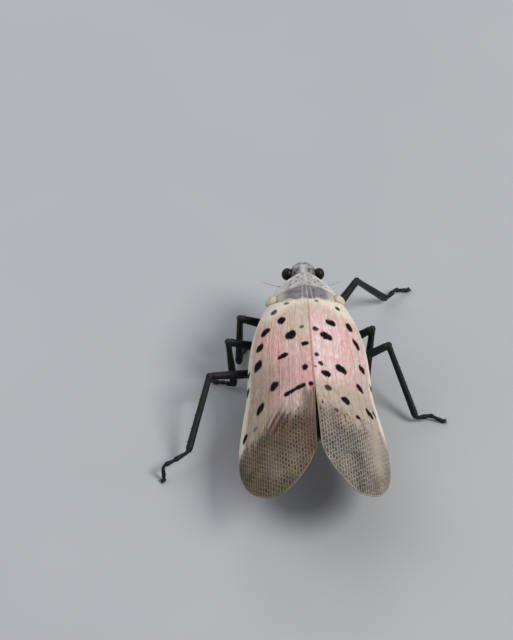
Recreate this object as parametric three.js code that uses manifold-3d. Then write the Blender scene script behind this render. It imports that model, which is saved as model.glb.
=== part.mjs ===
// Spotted lanternfly, adult, at rest with its wings folded like a roof.
// Millimetres. x runs to the insect's left, y from the head back to the wing tips, z up from the floor.

import * as THREE from "three";
import { mergeVertices } from "three/addons/utils/BufferGeometryUtils.js";
import Module from "manifold-3d";

const wasm = await Module();
wasm.setup();

// Clearance between pieces that meet, and the thickness of a wing.
const GAP = 0.12;
const WING_THICKNESS = 0.5;

// The roof that the forewings make: height of its ridge, and its slope at the ridge and at the outer edge.
// At the shoulders the roof is squarer: flat for longer, then steep.
const RIDGE_HEIGHT = 9.2;
const RIDGE_PEAK_AT = 9;
const RIDGE_FALL_BACK = 0.045;
const RIDGE_FALL_FRONT = 0.035;
const RIDGE_SLOPE = THREE.MathUtils.degToRad(13);
const EDGE_SLOPE_FRONT = THREE.MathUtils.degToRad(78);
const EDGE_SLOPE_BACK = THREE.MathUtils.degToRad(62);
const SHOULDER_SQUARENESS = 2.5;
const ROOF_STEPS = 16;

// Forewing outline, measured along the curve of the roof from the ridge outwards.
const FOREWING = {
  base: 5.7,
  shoulder: 4.95,
  width: 8.82,
  taper: 1.07,
  taperLength: 12,
  shoulderTaper: 4.0,
  shoulderLength: 5.15,
  taperFrom: 4.4,
  outline: { tipAcross: 0.4, innerEnd: 21.2, outerEnd: 19.0, tip: 25.7, innerPower: 1.5, outerPower: 2 },
};

// Hindwing outline, lying under the forewing and a part of its width.
const HINDWING = {
  base: 8.4,
  across: 0.8,
  outline: { tipAcross: 0.42, innerEnd: 19.5, outerEnd: 17.5, tip: 23.4, innerPower: 1.6, outerPower: 2 },
};

// Trunk: centre and half sizes of each part. A squareness of 2 is an ellipsoid, more is boxier.
// The head is drawn in, back and down towards the root of the beak, by the parts named here.
const HEAD = {
  centre: [0, 1.25, 6.15], half: [1.25, 1.3, 1.62], squareness: 2.4,
  chinNarrowing: 0.5, chinShortening: 0.3, chinSetBack: 0.4, chinDrop: 0.1,
};
const EYE = { centre: [1.38, 1.12, 6.85], half: [0.52, 0.52, 0.62] };
const ANTENNA = {
  centre: [1.5, 1.45, 5.55], radius: 0.38, root: [0.75, -0.35, -0.3], rootRadius: 0.22,
};
const THORAX = { centre: [0, 6.05, 5.6], half: [2.5, 3.4, 2.1], squareness: 2.8, neckNarrowing: 0.45 };
const ABDOMEN = {
  front: 9.6, back: 18.6, halfWidth: 2.35, halfHeight: 1.85, height: 5.45, sink: 0.35,
  widestAt: 0.8, fullness: 0.5, taper: 0.18, rings: 7, grooveDepth: 0.04,
};
const TEGULA = { centre: [2.98, 4.36, 7.15], half: [0.66, 0.5, 0.46] };
const ROSTRUM = { from: [0, 1.9, 4.1], to: [0, 9.0, 2.4], radius: 0.27, tipRadius: 0.25 };

// The two plates on the back: where their front and back edges run, and how they arch.
// An edge starts at the middle and sweeps back by slope for each millimetre outwards,
// less bend times the square of that.
const PRONOTUM = {
  halfWidth: 3.12, thickness: 0.6, top: 8.3, rise: 0.6, fall: 1.5,
  front: { middle: 1.42, slope: 0.68, bend: 0 },
  back: { middle: 3.65, slope: 0.22, bend: 0 },
};
const MESONOTUM = {
  halfWidth: 2.42, thickness: 0.55, top: 8.62, rise: 0.32, fall: 0.9,
  front: { middle: 3.77, slope: 0.22, bend: 0 },
  back: { middle: 5.56, slope: 0, bend: 0.1 },
};
const APEX_BLUNTNESS = 0.25;
const PLATE_ARCH = 2.4;
const PLATE_RIM_THICKENING = 0.7;

// Legs: the points where the segments meet, and the thickness of the femur and tibia.
// The foot arches over a bend between the ankle and the toe.
const LEGS = [
  { name: "front_left", hip: [1.3, 3.9, 3.75], joint: [2.1, 4.1, 3.15], knee: [5.66, 5.0, 5.5],
    ankle: [5.55, 5.9, 0.5], bend: [5.25, 4.9, 0.5], toe: [4.75, 3.75, 0.2],
    femur: 0.33, tibia: 0.3 },
  { name: "front_right", hip: [-1.3, 3.9, 3.75], joint: [-2.1, 3.4, 3.15], knee: [-4.91, 0.33, 5.0],
    ankle: [-7.95, -1.45, 0.45], bend: [-8.83, -2.3, 0.62], toe: [-10, -2.7, 0.2],
    femur: 0.33, tibia: 0.32 },
  { name: "mid_left", hip: [1.5, 6.2, 3.6], joint: [2.35, 6.5, 2.95], knee: [6.79, 7.2, 4.95],
    ankle: [6.1, 8.35, 0.45], bend: [6.9, 8.1, 0.5], toe: [7.75, 7.7, 0.2],
    femur: 0.36, tibia: 0.3 },
  { name: "mid_right", hip: [-1.5, 6.2, 3.6], joint: [-2.35, 6.5, 2.95], knee: [-5.85, 6.1, 5.25],
    ankle: [-5.45, 8.2, 0.45], bend: [-5.3, 9.15, 0.5], toe: [-5.1, 10.15, 0.2],
    femur: 0.38, tibia: 0.32 },
  { name: "hind_left", hip: [1.55, 8.4, 3.7], joint: [2.5, 9.0, 2.95], knee: [8.54, 10.28, 4.0],
    ankle: [10.55, 16.6, 1.45], bend: [12.7, 17.9, 1.1], toe: [12.72, 18.65, 0.2],
    femur: 0.34, tibia: 0.27 },
  { name: "hind_right", hip: [-1.55, 8.4, 3.7], joint: [-2.4, 9.0, 2.95], knee: [-7.16, 7.85, 5.1],
    ankle: [-9.56, 12.4, 0.65], bend: [-10.85, 12.1, 0.55], toe: [-11.97, 12.4, 0.2],
    femur: 0.34, tibia: 0.27 },
];
const COXA_RADIUS = 0.5;
const TROCHANTER_RADIUS = 0.34;
const FEMUR_START = 0.27;
const TIBIA_START = 0.26;
const TARSUS_RADIUS = 0.25;
const INSTEP_RADIUS = 0.2;
const TOE_RADIUS = 0.23;
const FOOT_PAD = [0.3, 0.45, 0.26];

// Colours as the eye sees them, and the finish of each material.
const MATERIALS = {
  wing: new THREE.MeshStandardMaterial({ color: 0xc9aca0, roughness: 0.6, metalness: 0 }),
  hindwing: new THREE.MeshStandardMaterial({ color: 0xb3262a, roughness: 0.6, metalness: 0 }),
  plate: new THREE.MeshStandardMaterial({ color: 0xcfc8bd, roughness: 0.7, metalness: 0 }),
  shield: new THREE.MeshStandardMaterial({ color: 0x9a939b, roughness: 0.7, metalness: 0 }),
  tegula: new THREE.MeshStandardMaterial({ color: 0xe8dcc4, roughness: 0.6, metalness: 0 }),
  head: new THREE.MeshStandardMaterial({ color: 0x3a3632, roughness: 0.6, metalness: 0 }),
  eye: new THREE.MeshStandardMaterial({ color: 0x1a1614, roughness: 0.3, metalness: 0 }),
  antenna: new THREE.MeshStandardMaterial({ color: 0xd8641e, roughness: 0.5, metalness: 0 }),
  abdomen: new THREE.MeshStandardMaterial({ color: 0xd8b22c, roughness: 0.5, metalness: 0 }),
  leg: new THREE.MeshStandardMaterial({ color: 0x17181c, roughness: 0.45, metalness: 0 }),
};

const insect = new THREE.Group();

function add(name, geometry, material) {
  const mesh = new THREE.Mesh(outward(geometry), material.clone());
  mesh.name = name;
  insect.add(mesh);
  return mesh;
}

// Shared-vertex copy of a geometry, without the slivers that a pole or a seam leaves.
function welded(geometry) {
  const bare = geometry.clone();
  bare.deleteAttribute("normal");
  bare.deleteAttribute("uv");
  const merged = mergeVertices(bare, 1e-4);
  const index = merged.index.array;
  const kept = [];
  for (let i = 0; i < index.length; i += 3) {
    const [a, b, c] = [index[i], index[i + 1], index[i + 2]];
    if (a !== b && b !== c && c !== a) kept.push(a, b, c);
  }
  merged.setIndex(kept);
  return merged;
}

// Moves each vertex of a geometry, given as a Vector3, with the function place.
function warped(geometry, place) {
  const shape = welded(geometry);
  const position = shape.attributes.position;
  const point = new THREE.Vector3();
  for (let i = 0; i < position.count; i += 1) {
    place(point.fromBufferAttribute(position, i));
    position.setXYZ(i, point.x, point.y, point.z);
  }
  return shape;
}

// Turns the faces of a closed shape outwards where a mirrored one has them inwards.
function outward(geometry) {
  const shape = welded(geometry);
  const position = shape.attributes.position;
  const index = shape.index.array;
  const [a, b, c] = [new THREE.Vector3(), new THREE.Vector3(), new THREE.Vector3()];
  let volume = 0;
  for (let i = 0; i < index.length; i += 3) {
    a.fromBufferAttribute(position, index[i]);
    b.fromBufferAttribute(position, index[i + 1]);
    c.fromBufferAttribute(position, index[i + 2]);
    volume += a.dot(b.cross(c));
  }
  if (volume < 0) {
    for (let i = 0; i < index.length; i += 3) {
      [index[i], index[i + 1]] = [index[i + 1], index[i]];
    }
  }
  shape.computeVertexNormals();
  return shape;
}

function toManifold(geometry) {
  const shape = outward(geometry);
  return new wasm.Manifold(new wasm.Mesh({
    numProp: 3,
    vertProperties: new Float32Array(shape.attributes.position.array),
    triVerts: new Uint32Array(shape.index.array),
  }));
}

function fromManifold(solid) {
  const mesh = solid.getMesh();
  const geometry = new THREE.BufferGeometry();
  geometry.setAttribute("position", new THREE.BufferAttribute(mesh.vertProperties, 3));
  geometry.setIndex(Array.from(mesh.triVerts));
  return geometry;
}

// What is left of a shape once the cutters are taken from it.
function cut(geometry, ...cutters) {
  const solid = cutters.reduce((rest, cutter) => rest.subtract(toManifold(cutter)), toManifold(geometry));
  return fromManifold(solid);
}

const { lerp, smoothstep } = THREE.MathUtils;

// Height of the roof's ridge at a station y.
function ridgeHeight(y) {
  const fall = y > RIDGE_PEAK_AT ? RIDGE_FALL_BACK * (y - RIDGE_PEAK_AT)
    : RIDGE_FALL_FRONT * (RIDGE_PEAK_AT - y) ** 2 / 2;
  return RIDGE_HEIGHT - fall;
}

// Width of the forewing at a station y, along the curve.
function wingWidth(y) {
  const w = FOREWING;
  const behind = Math.max(0, y - w.taperFrom);
  return w.width - w.taper * Math.exp(-behind / w.taperLength)
    - w.shoulderTaper * Math.exp(-behind / w.shoulderLength);
}

// Point of the roof at station y, a part "across" of the way from the ridge to the outer edge,
// sunk by "depth" towards the body.
function roofPoint(side, y, across, depth, point) {
  const edgeSlope = lerp(EDGE_SLOPE_FRONT, EDGE_SLOPE_BACK, smoothstep(y, 6, 20));
  const squareness = lerp(SHOULDER_SQUARENESS, 1, smoothstep(y, 5, 14));
  const slopeAt = (part) => lerp(RIDGE_SLOPE, edgeSlope, part ** squareness);
  const step = across / ROOF_STEPS;
  let x = 0;
  let drop = 0;
  for (let i = 0; i < ROOF_STEPS; i += 1) {
    const slope = slopeAt((i + 0.5) * step);
    x += Math.cos(slope) * step * wingWidth(y);
    drop += Math.sin(slope) * step * wingWidth(y);
  }
  const lean = slopeAt(across) * smoothstep(across, 0, 0.3);
  const outwards = GAP / 2 + x - depth * Math.sin(lean);
  point.set(side * outwards, y, ridgeHeight(y) - drop - depth * Math.cos(lean));
}

// Station where a wing ends, a part of the way across: two rounded quarters that meet at its tip.
function wingEnd(outline, part) {
  const inner = part < outline.tipAcross;
  const reach = inner ? (outline.tipAcross - part) / outline.tipAcross
    : (part - outline.tipAcross) / (1 - outline.tipAcross);
  const power = inner ? outline.innerPower : outline.outerPower;
  const corner = inner ? outline.innerEnd : outline.outerEnd;
  return corner + (outline.tip - corner) * (1 - reach ** power) ** (1 / power);
}

// A wing is a box bent onto the roof: its x runs across, its y from base to tip, its z through.
function wingSheet(side, acrossSteps, lengthSteps, outline, start, outerEdge, depth) {
  const block = new THREE.BoxGeometry(1, 1, 1, acrossSteps, lengthSteps, 1);
  return warped(block, (p) => {
    const part = (1 - Math.cos(Math.PI * (p.x + 0.5))) / 2;
    const y = lerp(start(part), wingEnd(outline, part), p.y + 0.5);
    roofPoint(side, y, part * outerEdge(y), depth + (0.5 - p.z) * WING_THICKNESS, p);
  });
}

function forewing(side) {
  const start = (part) => lerp(FOREWING.base, FOREWING.shoulder, part * part);
  return wingSheet(side, 10, 16, FOREWING.outline, start, () => 1, 0);
}

function hindwing(side) {
  const { base, across, outline } = HINDWING;
  const outerEdge = (y) => across * smoothstep(y, base - 6, base + 4);
  return wingSheet(side, 8, 12, outline, () => base, outerEdge, WING_THICKNESS + GAP);
}

// Where an edge of a plate runs, at x from the middle.
function edgeAt(edge, x) {
  return edge.middle + edge.slope * (Math.hypot(x, APEX_BLUNTNESS) - APEX_BLUNTNESS) - edge.bend * x * x;
}

// A plate that arches over the trunk: x across, y from front to back, z through.
// It is grown on all sides to make a cutter that leaves a gap.
function archedPlate(plate, acrossSteps, lengthSteps, grow = 0) {
  const block = new THREE.BoxGeometry(2, 1, 1, acrossSteps, lengthSteps, 1);
  return warped(block, (p) => {
    const x = p.x * (plate.halfWidth + grow);
    const along = p.y + 0.5;
    const outwards = Math.abs(x / plate.halfWidth);
    const y = lerp(edgeAt(plate.front, x) - grow, edgeAt(plate.back, x) + grow, along);
    const top = plate.top - plate.rise * (1 - along) ** 2 - plate.fall * outwards ** PLATE_ARCH;
    const thickness = plate.thickness * (1 + PLATE_RIM_THICKENING * outwards ** 2);
    p.set(x, y, top + grow - (0.5 - p.z) * (thickness + 2 * grow));
  });
}

// A point of the left side, or its mirror image on the right.
function mirrored(side, [x, y, z]) {
  return [side * x, y, z];
}

function ellipsoid(centre, half, widthSegments, heightSegments) {
  const ball = new THREE.SphereGeometry(1, widthSegments, heightSegments);
  return warped(ball, (p) => p.multiply(new THREE.Vector3(...half)).add(new THREE.Vector3(...centre)));
}

// Pushes a point of the unit ball out towards the faces of its box.
function squared(p, power) {
  const size = Math.abs(p.x) ** power + Math.abs(p.y) ** power + Math.abs(p.z) ** power;
  return p.multiplyScalar(size ** (-1 / power));
}

// Head: broad above, drawn in and back below to the root of the beak.
function head() {
  const { centre, half, squareness } = HEAD;
  return warped(new THREE.SphereGeometry(1, 14, 12), (p) => {
    squared(p, squareness);
    const down = Math.max(0, -p.z);
    const width = half[0] * (1 - HEAD.chinNarrowing * down ** 1.5);
    const length = half[1] * (1 - HEAD.chinShortening * down);
    const height = half[2] * (1 + HEAD.chinDrop * down);
    p.set(
      centre[0] + p.x * width,
      centre[1] + p.y * length + HEAD.chinSetBack * down,
      centre[2] + p.z * height,
    );
  });
}

function thorax() {
  const { centre, half, squareness } = THORAX;
  return warped(new THREE.SphereGeometry(1, 14, 12), (p) => {
    squared(p, squareness);
    const neck = 1 - THORAX.neckNarrowing * smoothstep(-p.y, 0.3, 1);
    p.set(centre[0] + p.x * half[0] * neck, centre[1] + p.y * half[1], centre[2] + p.z * half[2] * neck);
  });
}

// Abdomen: ringed, widest near its base, drawn out to a blunt tip.
function abdomen() {
  const a = ABDOMEN;
  return warped(new THREE.SphereGeometry(1, 14, 20), (p) => {
    const along = Math.acos(THREE.MathUtils.clamp(-p.y, -1, 1)) / Math.PI;
    const round = Math.hypot(p.x, p.z) || 1;
    const swell = Math.sin(Math.PI * along ** a.widestAt) ** a.fullness * (1 - a.taper * along);
    const groove = 1 - a.grooveDepth * Math.abs(Math.cos(Math.PI * along * a.rings)) ** 6;
    const size = swell * groove / round;
    p.set(
      p.x * a.halfWidth * size,
      lerp(a.front, a.back, along),
      a.height + p.z * a.halfHeight * size - a.sink * along,
    );
  });
}

// Antenna: a swollen second joint, with the short root of its bristle pointing out and down.
function antenna(side) {
  const bulb = mirrored(side, ANTENNA.centre);
  const tip = mirrored(side, ANTENNA.root).map((reach, i) => bulb[i] + reach);
  const root = limb(bulb, tip, 0, 0, Array(3).fill(ANTENNA.rootRadius), 6);
  const ball = ellipsoid(bulb, Array(3).fill(ANTENNA.radius), 10, 8);
  return fromManifold(toManifold(ball).add(toManifold(root)));
}

// Profile of a limb's segment: rounded ends, given the radii at its start, middle and end.
function limbProfile(length, start, middle, end) {
  return [
    [0, 0], [0.75 * start, 0.3 * start], [start, start],
    [middle, length * 0.45],
    [end, length - end], [0.75 * end, length - 0.3 * end], [0, length],
  ].map(([radius, along]) => new THREE.Vector2(radius, along));
}

// A segment from one point to another, shortened at each end, or lengthened by a trim below zero.
function limb(from, to, trimFrom, trimTo, radii, sides) {
  const start = new THREE.Vector3(...from);
  const axis = new THREE.Vector3(...to).sub(start);
  const length = axis.length() - trimFrom - trimTo;
  axis.normalize();
  const geometry = new THREE.LatheGeometry(limbProfile(length, ...radii), sides);
  geometry.applyQuaternion(new THREE.Quaternion().setFromUnitVectors(new THREE.Vector3(0, 1, 0), axis));
  start.addScaledVector(axis, trimFrom);
  return geometry.translate(start.x, start.y, start.z);
}

function coxa(leg, grow = 0) {
  const radii = [COXA_RADIUS + grow, COXA_RADIUS + grow, TROCHANTER_RADIUS + grow];
  return limb(leg.hip, leg.joint, 0, -TROCHANTER_RADIUS, radii, 8);
}

// A foot: the slim tarsus arches over a bend to a pad, cut flat where it meets the floor.
function foot(leg) {
  const upperRadii = Array(3).fill(TARSUS_RADIUS);
  const upper = limb(leg.ankle, leg.bend, leg.tibia + GAP, -TARSUS_RADIUS, upperRadii, 7);
  const lower = limb(leg.bend, leg.toe, 0, 0, [INSTEP_RADIUS, TOE_RADIUS, TOE_RADIUS], 6);
  const [x, y, z] = leg.toe;
  const heading = Math.atan2(y - leg.ankle[1], x - leg.ankle[0]) - Math.PI / 2;
  const pad = ellipsoid([0, 0, 0], FOOT_PAD, 8, 6).rotateZ(heading).translate(x, y, z);
  const floor = new THREE.BoxGeometry(60, 60, 2).translate(0, 0, -1);
  const whole = toManifold(upper).add(toManifold(lower)).add(toManifold(pad));
  return fromManifold(whole.subtract(toManifold(floor)));
}

// How far beyond the knee the tibia starts: past the femur's end, and past its side at a sharp bend.
function kneeClearance(leg, kneeRadius) {
  const knee = new THREE.Vector3(...leg.knee);
  const thigh = new THREE.Vector3(...leg.joint).sub(knee);
  const shin = new THREE.Vector3(...leg.ankle).sub(knee);
  const angle = thigh.angleTo(shin);
  const pastSide = (leg.femur + TIBIA_START + GAP) / Math.sin(Math.min(angle, Math.PI / 2)) - TIBIA_START;
  return Math.max(kneeRadius + GAP, pastSide);
}

function addLeg(leg) {
  const kneeRadius = leg.femur * 0.88;
  const femurRadii = [FEMUR_START, leg.femur, kneeRadius];
  const femur = limb(leg.joint, leg.knee, TROCHANTER_RADIUS + GAP, -kneeRadius, femurRadii, 8);
  const tibiaRadii = [TIBIA_START, leg.tibia, leg.tibia];
  const tibia = limb(leg.knee, leg.ankle, kneeClearance(leg, kneeRadius), -leg.tibia, tibiaRadii, 8);
  add(`coxa_${leg.name}`, coxa(leg), MATERIALS.leg);
  add(`femur_${leg.name}`, femur, MATERIALS.leg);
  add(`tibia_${leg.name}`, tibia, MATERIALS.leg);
  add(`tarsus_${leg.name}`, foot(leg), MATERIALS.leg);
}

const SIDES = [["left", 1], ["right", -1]];
const grown = (half) => half.map((size) => size + GAP);
const eyeRoom = SIDES.map(([, side]) => ellipsoid(mirrored(side, EYE.centre), grown(EYE.half), 10, 8));
const bulbRoom = SIDES.map(([, side]) => {
  return ellipsoid(mirrored(side, ANTENNA.centre), Array(3).fill(ANTENNA.radius + GAP), 8, 6);
});
const pronotumRoom = archedPlate(PRONOTUM, 10, 3, GAP);
const mesonotumRoom = archedPlate(MESONOTUM, 8, 3, GAP);
const rostrumRoom = limb(ROSTRUM.from, ROSTRUM.to, 0, 0, Array(3).fill(ROSTRUM.radius + GAP), 6);
const coxaRoom = LEGS.map((leg) => coxa(leg, GAP));

add("head", cut(head(), pronotumRoom, ...eyeRoom, ...bulbRoom), MATERIALS.head);
add("pronotum", archedPlate(PRONOTUM, 14, 5), MATERIALS.plate);
add("mesonotum", archedPlate(MESONOTUM, 10, 5), MATERIALS.shield);
add("thorax", cut(thorax(), pronotumRoom, mesonotumRoom, rostrumRoom, ...coxaRoom), MATERIALS.head);
add("abdomen", abdomen(), MATERIALS.abdomen);
const rostrumRadii = [ROSTRUM.radius, ROSTRUM.radius, ROSTRUM.tipRadius];
add("rostrum", limb(ROSTRUM.from, ROSTRUM.to, 0, 0, rostrumRadii, 8), MATERIALS.leg);

for (const [name, side] of SIDES) {
  add(`eye_${name}`, ellipsoid(mirrored(side, EYE.centre), EYE.half, 14, 10), MATERIALS.eye);
  add(`antenna_${name}`, antenna(side), MATERIALS.antenna);
  const tegula = ellipsoid(mirrored(side, TEGULA.centre), TEGULA.half, 12, 8);
  add(`tegula_${name}`, cut(tegula, pronotumRoom, mesonotumRoom), MATERIALS.tegula);
  add(`forewing_${name}`, forewing(side), MATERIALS.wing);
  add(`hindwing_${name}`, hindwing(side), MATERIALS.hindwing);
}

for (const leg of LEGS) addLeg(leg);

// The origin is on the floor, below the middle of the model's outline.
const box = new THREE.Box3().setFromObject(insect);
insect.position.set(-(box.min.x + box.max.x) / 2, -(box.min.y + box.max.y) / 2, -box.min.z);

const model = new THREE.Group();
model.add(insect);

export default model;
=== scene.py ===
# Spotted lanternfly, adult, at rest with its wings folded like a roof, life size.
# Shapes are worked out in millimetres in the insect's own frame: x runs to its left, y from the front of
# its head back to its wing tips, z up from the floor. add_piece() moves them into the model's frame.

import math

import bmesh
import bpy
import numpy as np
from mathutils import Matrix, Vector, noise


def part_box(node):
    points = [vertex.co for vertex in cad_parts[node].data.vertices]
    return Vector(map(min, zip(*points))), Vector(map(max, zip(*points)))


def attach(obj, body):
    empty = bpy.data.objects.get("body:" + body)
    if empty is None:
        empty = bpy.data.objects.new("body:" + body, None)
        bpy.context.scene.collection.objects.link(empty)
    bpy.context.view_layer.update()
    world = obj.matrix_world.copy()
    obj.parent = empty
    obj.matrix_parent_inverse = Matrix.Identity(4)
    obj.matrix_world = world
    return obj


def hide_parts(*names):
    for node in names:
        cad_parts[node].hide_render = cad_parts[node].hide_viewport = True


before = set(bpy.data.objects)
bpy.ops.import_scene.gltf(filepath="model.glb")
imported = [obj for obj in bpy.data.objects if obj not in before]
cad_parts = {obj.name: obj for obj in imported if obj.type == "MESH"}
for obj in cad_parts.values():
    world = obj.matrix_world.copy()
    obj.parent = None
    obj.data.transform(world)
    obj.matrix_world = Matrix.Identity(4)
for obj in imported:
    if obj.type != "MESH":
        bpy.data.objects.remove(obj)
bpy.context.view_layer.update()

MM = 0.001
SIDES = (("left", 1), ("right", -1))

# The roof that the forewings make, as in the solids.
RIDGE_HEIGHT = 9.2
RIDGE_PEAK_AT = 9.0
RIDGE_FALL_BACK = 0.045
RIDGE_FALL_FRONT = 0.035
RIDGE_SLOPE = math.radians(13)
EDGE_SLOPE_FRONT = math.radians(78)
EDGE_SLOPE_BACK = math.radians(62)
SHOULDER_SQUARENESS = 2.5
ROOF_STEPS = 16
# The forewings nearly touch in front and part a little towards their tips.
RIDGE_GAP_FRONT = 0.03
RIDGE_GAP_BACK = 0.34

# Forewing: outline, and how far its membrane lies below the roof so that its veins stay inside the solids.
WING_BASE = 5.7
WING_SHOULDER = 4.95
WING_WIDTH = 8.82
WING_TAPER = 1.07
WING_TAPER_LENGTH = 12.0
SHOULDER_TAPER = 4.0
SHOULDER_LENGTH = 5.15
TAPER_FROM = 4.4
FOREWING_OUTLINE = {"tip_across": 0.4, "inner_end": 21.2, "outer_end": 19.0, "tip": 25.7,
                    "inner_power": 1.5, "outer_power": 2.0}
HINDWING_OUTLINE = {"tip_across": 0.42, "inner_end": 19.5, "outer_end": 17.5, "tip": 23.4,
                    "inner_power": 1.6, "outer_power": 2.0}
MEMBRANE_DEPTH = 0.07
MEMBRANE_THIN = 0.06
MEMBRANE_THICK = 0.14
# How far the front edge of a forewing bends down to the back.
ROOT_LIP = 0.3
HINDWING_BASE = 8.1
HINDWING_DEPTH = 0.72
HINDWING_THICKNESS = 0.05
HINDWING_GAP = 0.02
PLEATS = 11

# The netted rear of a forewing: distances from the ridge, and the stations where it begins there.
NET_START = {"left": ((0, 1.3, 2.7, 3.9, 5.3, 6.6, 8.8), (18.2, 17.9, 17.6, 18.1, 18.9, 19.3, 19.5)),
             "right": ((0, 1.4, 2.4, 3.4, 4.5, 7.0, 8.8), (16.8, 17.1, 17.8, 18.0, 17.8, 17.1, 16.9))}
# How far past its start the ground under the net takes to darken: from, to.
NET_DARKENS = {"left": (-1.0, 0.9), "right": (-0.4, 2.4)}
NET_FIRST = 15.0
NET_VEINS = 32
NET_PITCH = 0.46
NET_ZIGZAG = 0.08
NET_JITTER = 0.11
SUTURE_END = 16.5
SUTURE_PART = 0.34
CLAVUS_VEIN_END = 14.6
CLAVUS_FORK_AT = 11.2
END_MARGIN = 0.12
# Half-width and height of each kind of vein.
VEINS = {"trunk": (0.065, 0.026), "branch": (0.055, 0.024), "net": (0.032, 0.024), "net_cross": (0.026, 0.02),
         "cross": (0.035, 0.02), "suture": (0.055, 0.024), "clavus": (0.055, 0.028), "fork": (0.05, 0.028)}
RIM_HEIGHT = 0.045
# Section of a vein: shares of its half-width and of its height, over the crest and back underneath.
VEIN_SECTION = ((-1, -0.5), (-0.5, 0.55), (0, 1.0), (0.5, 0.55), (1, -0.5), (0, -1.4))

# Dark spots of each forewing: station, distance from the ridge, length and width in millimetres, the angle
# of the long side from the wing's length in degrees, and for a faint spot its strength.
SPOTS = {
    "left": (
        (6.5, 3.15, 0.62, 0.50, 62, 0.9), (7.8, 2.50, 0.80, 0.70, 70), (8.4, 4.20, 0.95, 0.66, 66),
        (9.55, 1.75, 1.02, 0.80, 80), (8.9, 0.75, 0.38, 0.32, 90, 0.8), (10.8, 0.58, 0.58, 0.46, 92),
        (9.6, 4.90, 0.92, 0.62, 78), (11.5, 2.65, 0.92, 0.48, 84), (11.15, 5.40, 1.15, 0.75, 76),
        (13.3, 0.72, 0.56, 0.56, 90), (14.15, 3.80, 1.00, 0.78, 66), (15.12, 0.30, 0.46, 0.44, 90),
        (15.75, 5.40, 1.05, 0.78, 48), (12.6, 7.30, 0.80, 0.50, 60), (11.1, 6.85, 0.60, 0.42, 64),
        (17.85, 7.4, 0.95, 0.50, 30), (17.6, 5.95, 0.45, 0.40, 50, 0.6), (5.85, 1.9, 0.28, 0.45, 0, 0.8),
    ),
    "right": (
        (6.3, 2.75, 0.50, 0.42, 50, 0.95), (8.2, 1.90, 0.88, 0.62, 65), (8.05, 3.80, 0.90, 0.66, 50),
        (9.25, 0.45, 0.52, 0.46, 88, 0.95), (9.8, 1.35, 1.10, 0.72, 65), (9.55, 4.60, 1.05, 0.60, 60),
        (12.0, 0.36, 0.40, 0.38, 90, 0.95), (12.9, 0.66, 0.48, 0.38, 50, 0.95),
        (13.3, 0.16, 0.30, 0.22, 50, 0.7), (13.9, 1.15, 0.86, 0.66, 75), (12.85, 2.70, 1.20, 0.72, 78),
        (11.65, 5.40, 0.95, 0.58, 82), (15.4, 1.20, 0.66, 0.56, 75, 0.9), (13.9, 4.95, 0.90, 0.70, 60),
        (16.25, 2.90, 0.86, 0.74, 64), (17.6, 1.80, 0.44, 0.36, 90, 0.7), (16.15, 5.80, 1.10, 0.66, 62),
        (15.6, 6.75, 0.70, 0.42, 76), (17.5, 4.05, 0.46, 0.42, 90), (12.4, 7.20, 0.70, 0.45, 60),
        (5.85, 0.75, 0.26, 0.4, 0, 0.7),
    ),
}
# A long bar on the left forewing: its two ends, and its width.
LEFT_BAR = ((15.6, 2.6), (15.12, 1.0), 0.5)

# Pits of the pronotum: distance from the middle, station and radius.
PRONOTUM_PITS = ((0.27, 2.02, 0.13), (0.66, 2.42, 0.16), (0.22, 2.72, 0.14), (0.78, 3.1, 0.16),
                 (1.2, 2.82, 0.13), (0.3, 3.33, 0.11), (1.35, 3.36, 0.14), (1.85, 3.4, 0.12),
                 (2.35, 3.85, 0.1))

# Trunk.
HEAD = {"centre": (0.0, 1.25, 6.15), "half": (1.21, 1.27, 1.6), "squareness": 2.4}
EYE = {"centre": (1.38, 1.12, 6.85), "half": (0.5, 0.5, 0.6)}
# Fineness of the eye's lenses, and how far out their edges lie.
EYE_LEVEL = 5
LENS_EDGE = 0.986
BULB = {"centre": (1.45, 1.45, 5.53), "radius": 0.35}
THORAX = {"centre": (0.0, 6.05, 5.6), "half": (2.42, 3.34, 2.02), "squareness": 2.8}
ABDOMEN = {"front": 9.3, "back": 18.55, "half_width": 2.3, "half_height": 1.8, "height": 5.45,
           "sink": 0.35, "rings": 8}
TEGULA = {"centre": (2.94, 4.44, 7.1), "half": (0.66, 0.56, 0.3), "tilt": math.radians(38)}
BEAK = {"from": (0.0, 1.75, 4.35), "to": (0.0, 8.95, 2.42)}
# Joints of the beak: where each starts and ends along it, and its radius at both ends.
BEAK_JOINTS = ((0.0, 0.30, 0.25, 0.21), (0.27, 0.66, 0.21, 0.19), (0.64, 1.0, 0.19, 0.12))
PRONOTUM = {"half_width": 3.08, "thickness": 0.5, "top": 8.26, "rise": 0.6, "fall": 1.5,
            "front": (1.45, 0.68, 0.0), "back": (3.66, 0.22, 0.0)}
MESONOTUM = {"half_width": 2.5, "thickness": 0.45, "top": 8.57, "rise": 0.32, "fall": 0.95,
             "front": (3.6, 0.22, 0.0), "back": (5.62, 0.0, 0.1)}
APEX_BLUNTNESS = 0.25

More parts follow.
